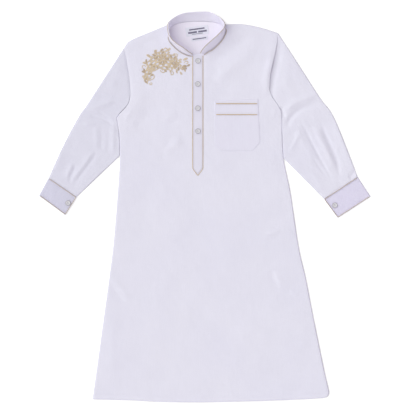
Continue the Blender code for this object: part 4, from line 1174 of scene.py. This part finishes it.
def patch(name, plan, trees, thickness, material, slot, replaces, soft):
    """A flat piece of cloth laid on the trees, whose edges thin out over a soft margin."""
    lower = laid_on(trees, plan, PATCH_LIFT)
    rows, columns = plan.shape[:2]
    rim = np.full((rows, columns), np.inf)
    for spot in np.concatenate([plan[0], plan[-1], plan[:, 0], plan[:, -1]]):
        rim = np.minimum(rim, np.linalg.norm(plan - spot, axis=2))
    upper = lower.copy()
    upper[..., 2] += PATCH_RIM + (thickness - PATCH_RIM) * np.sqrt(np.clip(rim / soft, 0, 1))
    points, faces = shell_of(upper, lower)
    return add_piece(name, points, faces, material, slot, replaces), tree_of(points, faces)


def even_shares(count, margin):
    """Shares from 0 to 1, with steps as small as the margin near both ends."""
    near = (0, 0.25 * margin, 0.5 * margin, margin)
    return np.concatenate([near, np.linspace(margin, 1 - margin, count)[1:-1], 1 - np.array(near[::-1])])


def add_placket():
    right, left = PLACKET_RIGHT + PLACKET_CLEAR, PLACKET_LEFT - PLACKET_CLEAR
    shares = even_shares(11, 0.06)
    x = right + (left - right) * shares
    point_share = 1 - np.abs(2 * shares - 1)
    reach = PLACKET_POINT + PLACKET_POINT_CLEAR - PLACKET_SHOULDER
    low = np.column_stack([x, PLACKET_SHOULDER + reach * point_share])
    high = np.column_stack([x, np.full(len(x), PLACKET_TOP)])
    plan = strip_plan(low, high, np.linspace(0, 1, PLACKET_ROWS))
    looks = CLOTH_PLACKET, "cloth", ["placket"]
    piece, tree = patch("cloth_placket", plan, [front_tree], PLACKET_THICKNESS, *looks, PLACKET_SOFT)
    middle = (right + left) / 2
    corners = [
        (PLACKET_RIGHT, PLACKET_TOP),
        (PLACKET_RIGHT, PLACKET_SHOULDER - 1),
        (middle, PLACKET_POINT - 1),
        (PLACKET_LEFT, PLACKET_SHOULDER - 1),
        (PLACKET_LEFT, PLACKET_TOP),
    ]
    path = cord_path([front_tree], rounded_path(corners, CORNER_RADIUS), PLACKET_CORD * 0.5)
    path[:, 2] += np.interp(path[:, 0], (PLACKET_RIGHT, PLACKET_LEFT), PLACKET_CORD_LIFTS)
    add_piping("piping_placket", path, ["placket_piping"], PIPING_GOLD, PLACKET_CORD)
    inset = [
        (PLACKET_RIGHT + STITCH_INSET, PLACKET_TOP - 4),
        (PLACKET_RIGHT + STITCH_INSET, PLACKET_SHOULDER + 1.5),
        (middle, PLACKET_POINT + 4.6),
        (PLACKET_LEFT - STITCH_INSET, PLACKET_SHOULDER + 1.5),
        (PLACKET_LEFT - STITCH_INSET, PLACKET_TOP - 4),
    ]
    add_stitches("stitches_placket", laid_on([tree], rounded_path(inset, INSET_RADIUS), STITCH_LIFT))
    for number, (x, y) in enumerate(PLACKET_BUTTONS, 1):
        add_button(f"button_placket_{number}", x, y, [tree], 0.6 + 0.5 * number)


def add_pocket():
    first, start, end, last = np.array(POCKET_LOW)
    top_right, top_left = np.array(POCKET_TOP)
    shares = even_shares(36, 0.02)
    x = first[0] + (last[0] - first[0]) * shares
    low_y = np.interp(x, [first[0], start[0], end[0], last[0]], [first[1], start[1], end[1], last[1]])
    high = top_right + (top_left - top_right) * shares[:, None]
    plan = strip_plan(np.column_stack([x, low_y]), high, shares)
    thickness = POCKET_CLOTH + POCKET_DOUBLED * smoothstep((plan[..., 1] - POCKET_FACING) / 2)
    looks = CLOTH_POCKET, "cloth", ["pocket"]
    piece, tree = patch("cloth_pocket", plan, [front_tree], thickness, *looks, POCKET_SOFT)
    for number, level in enumerate(POCKET_PIPING_LEVELS, 1):
        right, left = top_right[0] + POCKET_PIPING_INSETS[0], top_left[0] - POCKET_PIPING_INSETS[1]
        path = cord_path([tree], spaced(np.array([(right, level), (left, level)]), 1.0))
        add_piping(f"piping_pocket_{number}", path, [f"pocket_piping_{number}"], PIPING_GOLD)
    inset = [
        (top_right[0] + 2.2, top_right[1] - 1),
        (first[0] + 2.2, first[1] + 1),
        (start[0] + 1, start[1] + 2.2),
        (end[0] - 1, end[1] + 2.2),
        (last[0] - 2.2, last[1] + 1),
        (top_left[0] - 2.2, top_left[1] - 1),
    ]
    across = [[(top_right[0] + 3, level), (top_left[0] - 3, level + 1)] for level in POCKET_STITCH_LEVELS]
    lines = [laid_on([tree], rounded_path(line, INSET_RADIUS), STITCH_LIFT) for line in (inset, *across)]
    add_stitches("stitches_pocket", *lines)


def add_labels():
    for name, label in LABELS.items():
        turn = math.radians(label.tilt)
        way = np.array([(math.cos(turn), math.sin(turn)), (-math.sin(turn), math.cos(turn))])

        def spots(across, up):
            grid = np.stack(np.meshgrid(across * label.width, up * label.height), axis=-1)
            return np.array((label.x, label.y)) + grid @ way

        plan = spots(even_shares(12, 0.04) - 0.5, even_shares(7, 0.08) - 0.5)
        looks = LABEL_SATIN, "label", [f"label_{name}"]
        piece, tree = patch(f"cloth_label_{name}", plan, [back_tree], LABEL_THICKNESS, *looks, LABEL_SOFT)
        for number, (start, end, middle, height) in enumerate(LABEL_WORDS[name], 1):
            plan = spots(np.linspace(start, end, 14), np.linspace(middle - height, middle + height, 3))
            bar = f"label_{name}_bar_{number}"
            patch(bar, plan, [tree], BAR_THICKNESS, LABEL_BARS, "label", [], BAR_SOFT)


add_collar()
add_placket()
add_pocket()
add_labels()


# Hem stitching
hem_line = body_plan(front_neck(), np.linspace(0.004, 0.996, 500), np.full(500, HEM_STITCH / BODY_HEIGHT))
hem_seam = laid_on([front_tree], hem_line, 0.1)
add_stitches("stitches_hem", hem_seam, pitch=HEM_STITCH_PITCH, length=HEM_STITCH_LENGTH)


# Embroidery
def walked(start, turns, step):
    """A plan line from the start, a step long in the direction of each turn."""
    way = polar(step, turns)
    return np.array(start, float) + np.vstack([[0.0, 0.0], np.cumsum(way[:-1], axis=0)])


def scroll(start, heading, length, curl):
    """A plan line from the start, whose turning grows along it by the curl, in turns over its length."""
    t = np.linspace(0, 1, 40)
    return walked(start, math.radians(heading) + math.tau * curl * t**1.6, length / (len(t) - 1))


def satin_band(line, width):
    """Stitch ends across a stroke along the line, whose width is a function of the share along it."""
    run = run_lengths(line)
    at = np.arange(THREAD_PITCH / 2, run[-1], THREAD_PITCH)
    middle = points_at(line, run, at)
    along = unit(np.gradient(middle, axis=0))
    side = np.column_stack([along[:, 1], -along[:, 0]]) + SATIN_SLANT * along
    half = np.array([width(share) for share in at / run[-1]])[:, None] / 2
    return middle - side * half, middle + side * half


def leaf(root, heading, length, width, bend=0.0):
    """Two fans of satin stitches that meet on a leaf's midrib."""
    t = np.linspace(0, 1, 24)
    turn = math.radians(heading) + bend * (t - 0.3)
    rib = walked(root, turn, length / (len(t) - 1))
    run = run_lengths(rib)
    at = np.arange(0.3, run[-1] * 0.98, THREAD_PITCH)
    share = at / run[-1]
    middle, along = points_at(rib, run, at), points_at(polar(1.0, turn), run, at)
    side = np.column_stack([along[:, 1], -along[:, 0]])
    half = (width / 2 * np.sin(math.pi * share**0.8) ** 0.8 + 0.12)[:, None]
    starts, ends = [], []
    for hand in (-1, 1):
        starts.append(middle + 0.1 * hand * side)
        ends.append(middle + hand * side * half + along * half * 0.7)
    return np.vstack(starts), np.vstack(ends)


def rosette(centre, radius, petals, turn=0.0):
    """Petals of satin stitches round a small knot."""
    parts = []
    for angle in turn + 360 * np.arange(petals) / petals:
        root = centre + polar(PETAL_ROOT * radius, math.radians(angle))
        parts.append(leaf(root, angle, radius * PETAL_LENGTH, radius * PETAL_WIDTH / petals))
    knot = centre + polar(KNOT_RADIUS * radius, np.linspace(0, math.tau, 12))
    return [*parts, (knot[:-1], knot[1:])]


def tapered(full, tip=0.35):
    return lambda share: full * (tip + (1 - tip) * math.sin(math.pi * min(1.0, share * 0.85 + 0.12)))


def embroidery():
    """Stitch ends in a light and in a dark gold: a shoulder spray of scrolls, leaves and rosettes."""
    light, dark = [], []
    spine = smooth_line(from_photo(SPRAY_SPINE))
    for number, (offset, start, end, width) in enumerate(SPRAY_ARCS):
        arc = moved_aside(spine, offset)
        share = run_lengths(arc) / run_lengths(arc)[-1]
        arc = arc[(share >= start) & (share <= end)]
        light.append(satin_band(arc, tapered(width)))
        arc = spaced(arc, 1.0)
        way = np.gradient(arc, axis=0)
        heading = np.degrees(np.arctan2(way[:, 1], way[:, 0]))
        for step, k in enumerate(range(2, len(arc) - 3, LEAF_EVERY)):
            hand = 1 if (step + number) % 2 else -1
            size = LEAF_SIZE + LEAF_SWING * math.sin(2.3 * step + number)
            beside = leaf(arc[k], heading[k] + hand * LEAF_ASIDE, size, LEAF_WIDTH, -hand * LEAF_BEND)
            (dark if step % 3 == 0 else light).append(beside)
    for start, heading, length, curl, width in SPRAY_SCROLLS:
        light.append(satin_band(scroll(from_photo([start])[0], heading, length, curl), tapered(width)))
    for number, (root, heading, length, width, bend) in enumerate(SPRAY_LEAVES):
        (dark if number % 3 == 1 else light).append(leaf(from_photo([root])[0], heading, length, width, bend))
    for number, (centre, radius, petals, turn) in enumerate(SPRAY_ROSETTES):
        (light if number % 2 else dark).extend(rosette(from_photo([centre])[0], radius, petals, turn))
    for name, parts, material in (("light", light, GOLD_LIGHT), ("dark", dark, GOLD_DARK)):
        starts = np.vstack([start for start, _ in parts])
        ends = np.vstack([end for _, end in parts])
        length = np.linalg.norm(ends - starts, axis=1)
        long = length > SHORTEST_THREAD
        starts, ends = (laid_on([front_tree], spots[long], THREAD_LIFT[name]) for spots in (starts, ends))
        rise = np.minimum(THREAD_MOST_RISE, THREAD_RISE + THREAD_RISE_SHARE * length[long])
        add_threads(f"embroidery_{name}", starts, ends, THREAD_RADIUS, rise, material, "piping")


embroidery()


# Stage, light and camera
def add_stage():
    bpy.ops.mesh.primitive_plane_add(size=FLOOR_SIDE, location=(0, 0, -FLOOR_BELOW))
    floor = bpy.context.object
    floor.name = "stage_floor"
    glow = {"Specular IOR Level": 0.0, "Emission Color": WHITE, "Emission Strength": FLOOR_GLOW}
    floor.data.materials.append(new_material("stage_floor", FLOOR_COLOUR, Roughness=0.9, **glow)[0])
    floor.visible_diffuse = False


def add_light():
    world = bpy.data.worlds.new("studio")
    bpy.context.scene.world = world
    world.use_nodes = True
    tree = world.node_tree
    place = add_node(tree, "ShaderNodeTexCoord", "Generated")
    height = add_node(tree, "ShaderNodeSeparateXYZ", "Z", Vector=place)
    levels = {"From Min": HORIZON[0], "From Max": HORIZON[1], "To Min": AMBIENT_BELOW, "To Max": AMBIENT}
    shade = add_node(tree, "ShaderNodeMapRange", "Result", Value=height, **levels)
    fill(tree, tree.nodes["Background"], {"Strength": shade, "Color": (*AMBIENT_TINT, 1.0)})
    key = bpy.data.objects.new("key_light", bpy.data.lights.new("key_light", "SUN"))
    key.data.energy = KEY_STRENGTH
    key.data.color = KEY_TINT
    key.data.angle = math.radians(KEY_ANGLE)
    away = Vector(KEY_FROM).normalized()
    key.rotation_euler = away.to_track_quat("Z", "Y").to_euler()
    bpy.context.scene.collection.objects.link(key)


def add_camera():
    camera = bpy.data.objects.new("camera", bpy.data.cameras.new("camera"))
    camera.data.sensor_width = SENSOR
    seen = PHOTO_SIDE * PIXEL * MM
    camera.data.lens = SENSOR * CAMERA_DISTANCE / seen
    camera.data.clip_end = CAMERA_SEES_TO
    middle = from_photo([PHOTO_MIDDLE])[0] - FOOTPRINT_MIDDLE
    camera.location = (middle[0] * MM, middle[1] * MM, CAMERA_DISTANCE + CAMERA_RAISED)
    bpy.context.scene.collection.objects.link(camera)
    bpy.context.scene.camera = camera


add_stage()
add_light()
add_camera()
bpy.context.scene.view_settings.view_transform = "Standard"
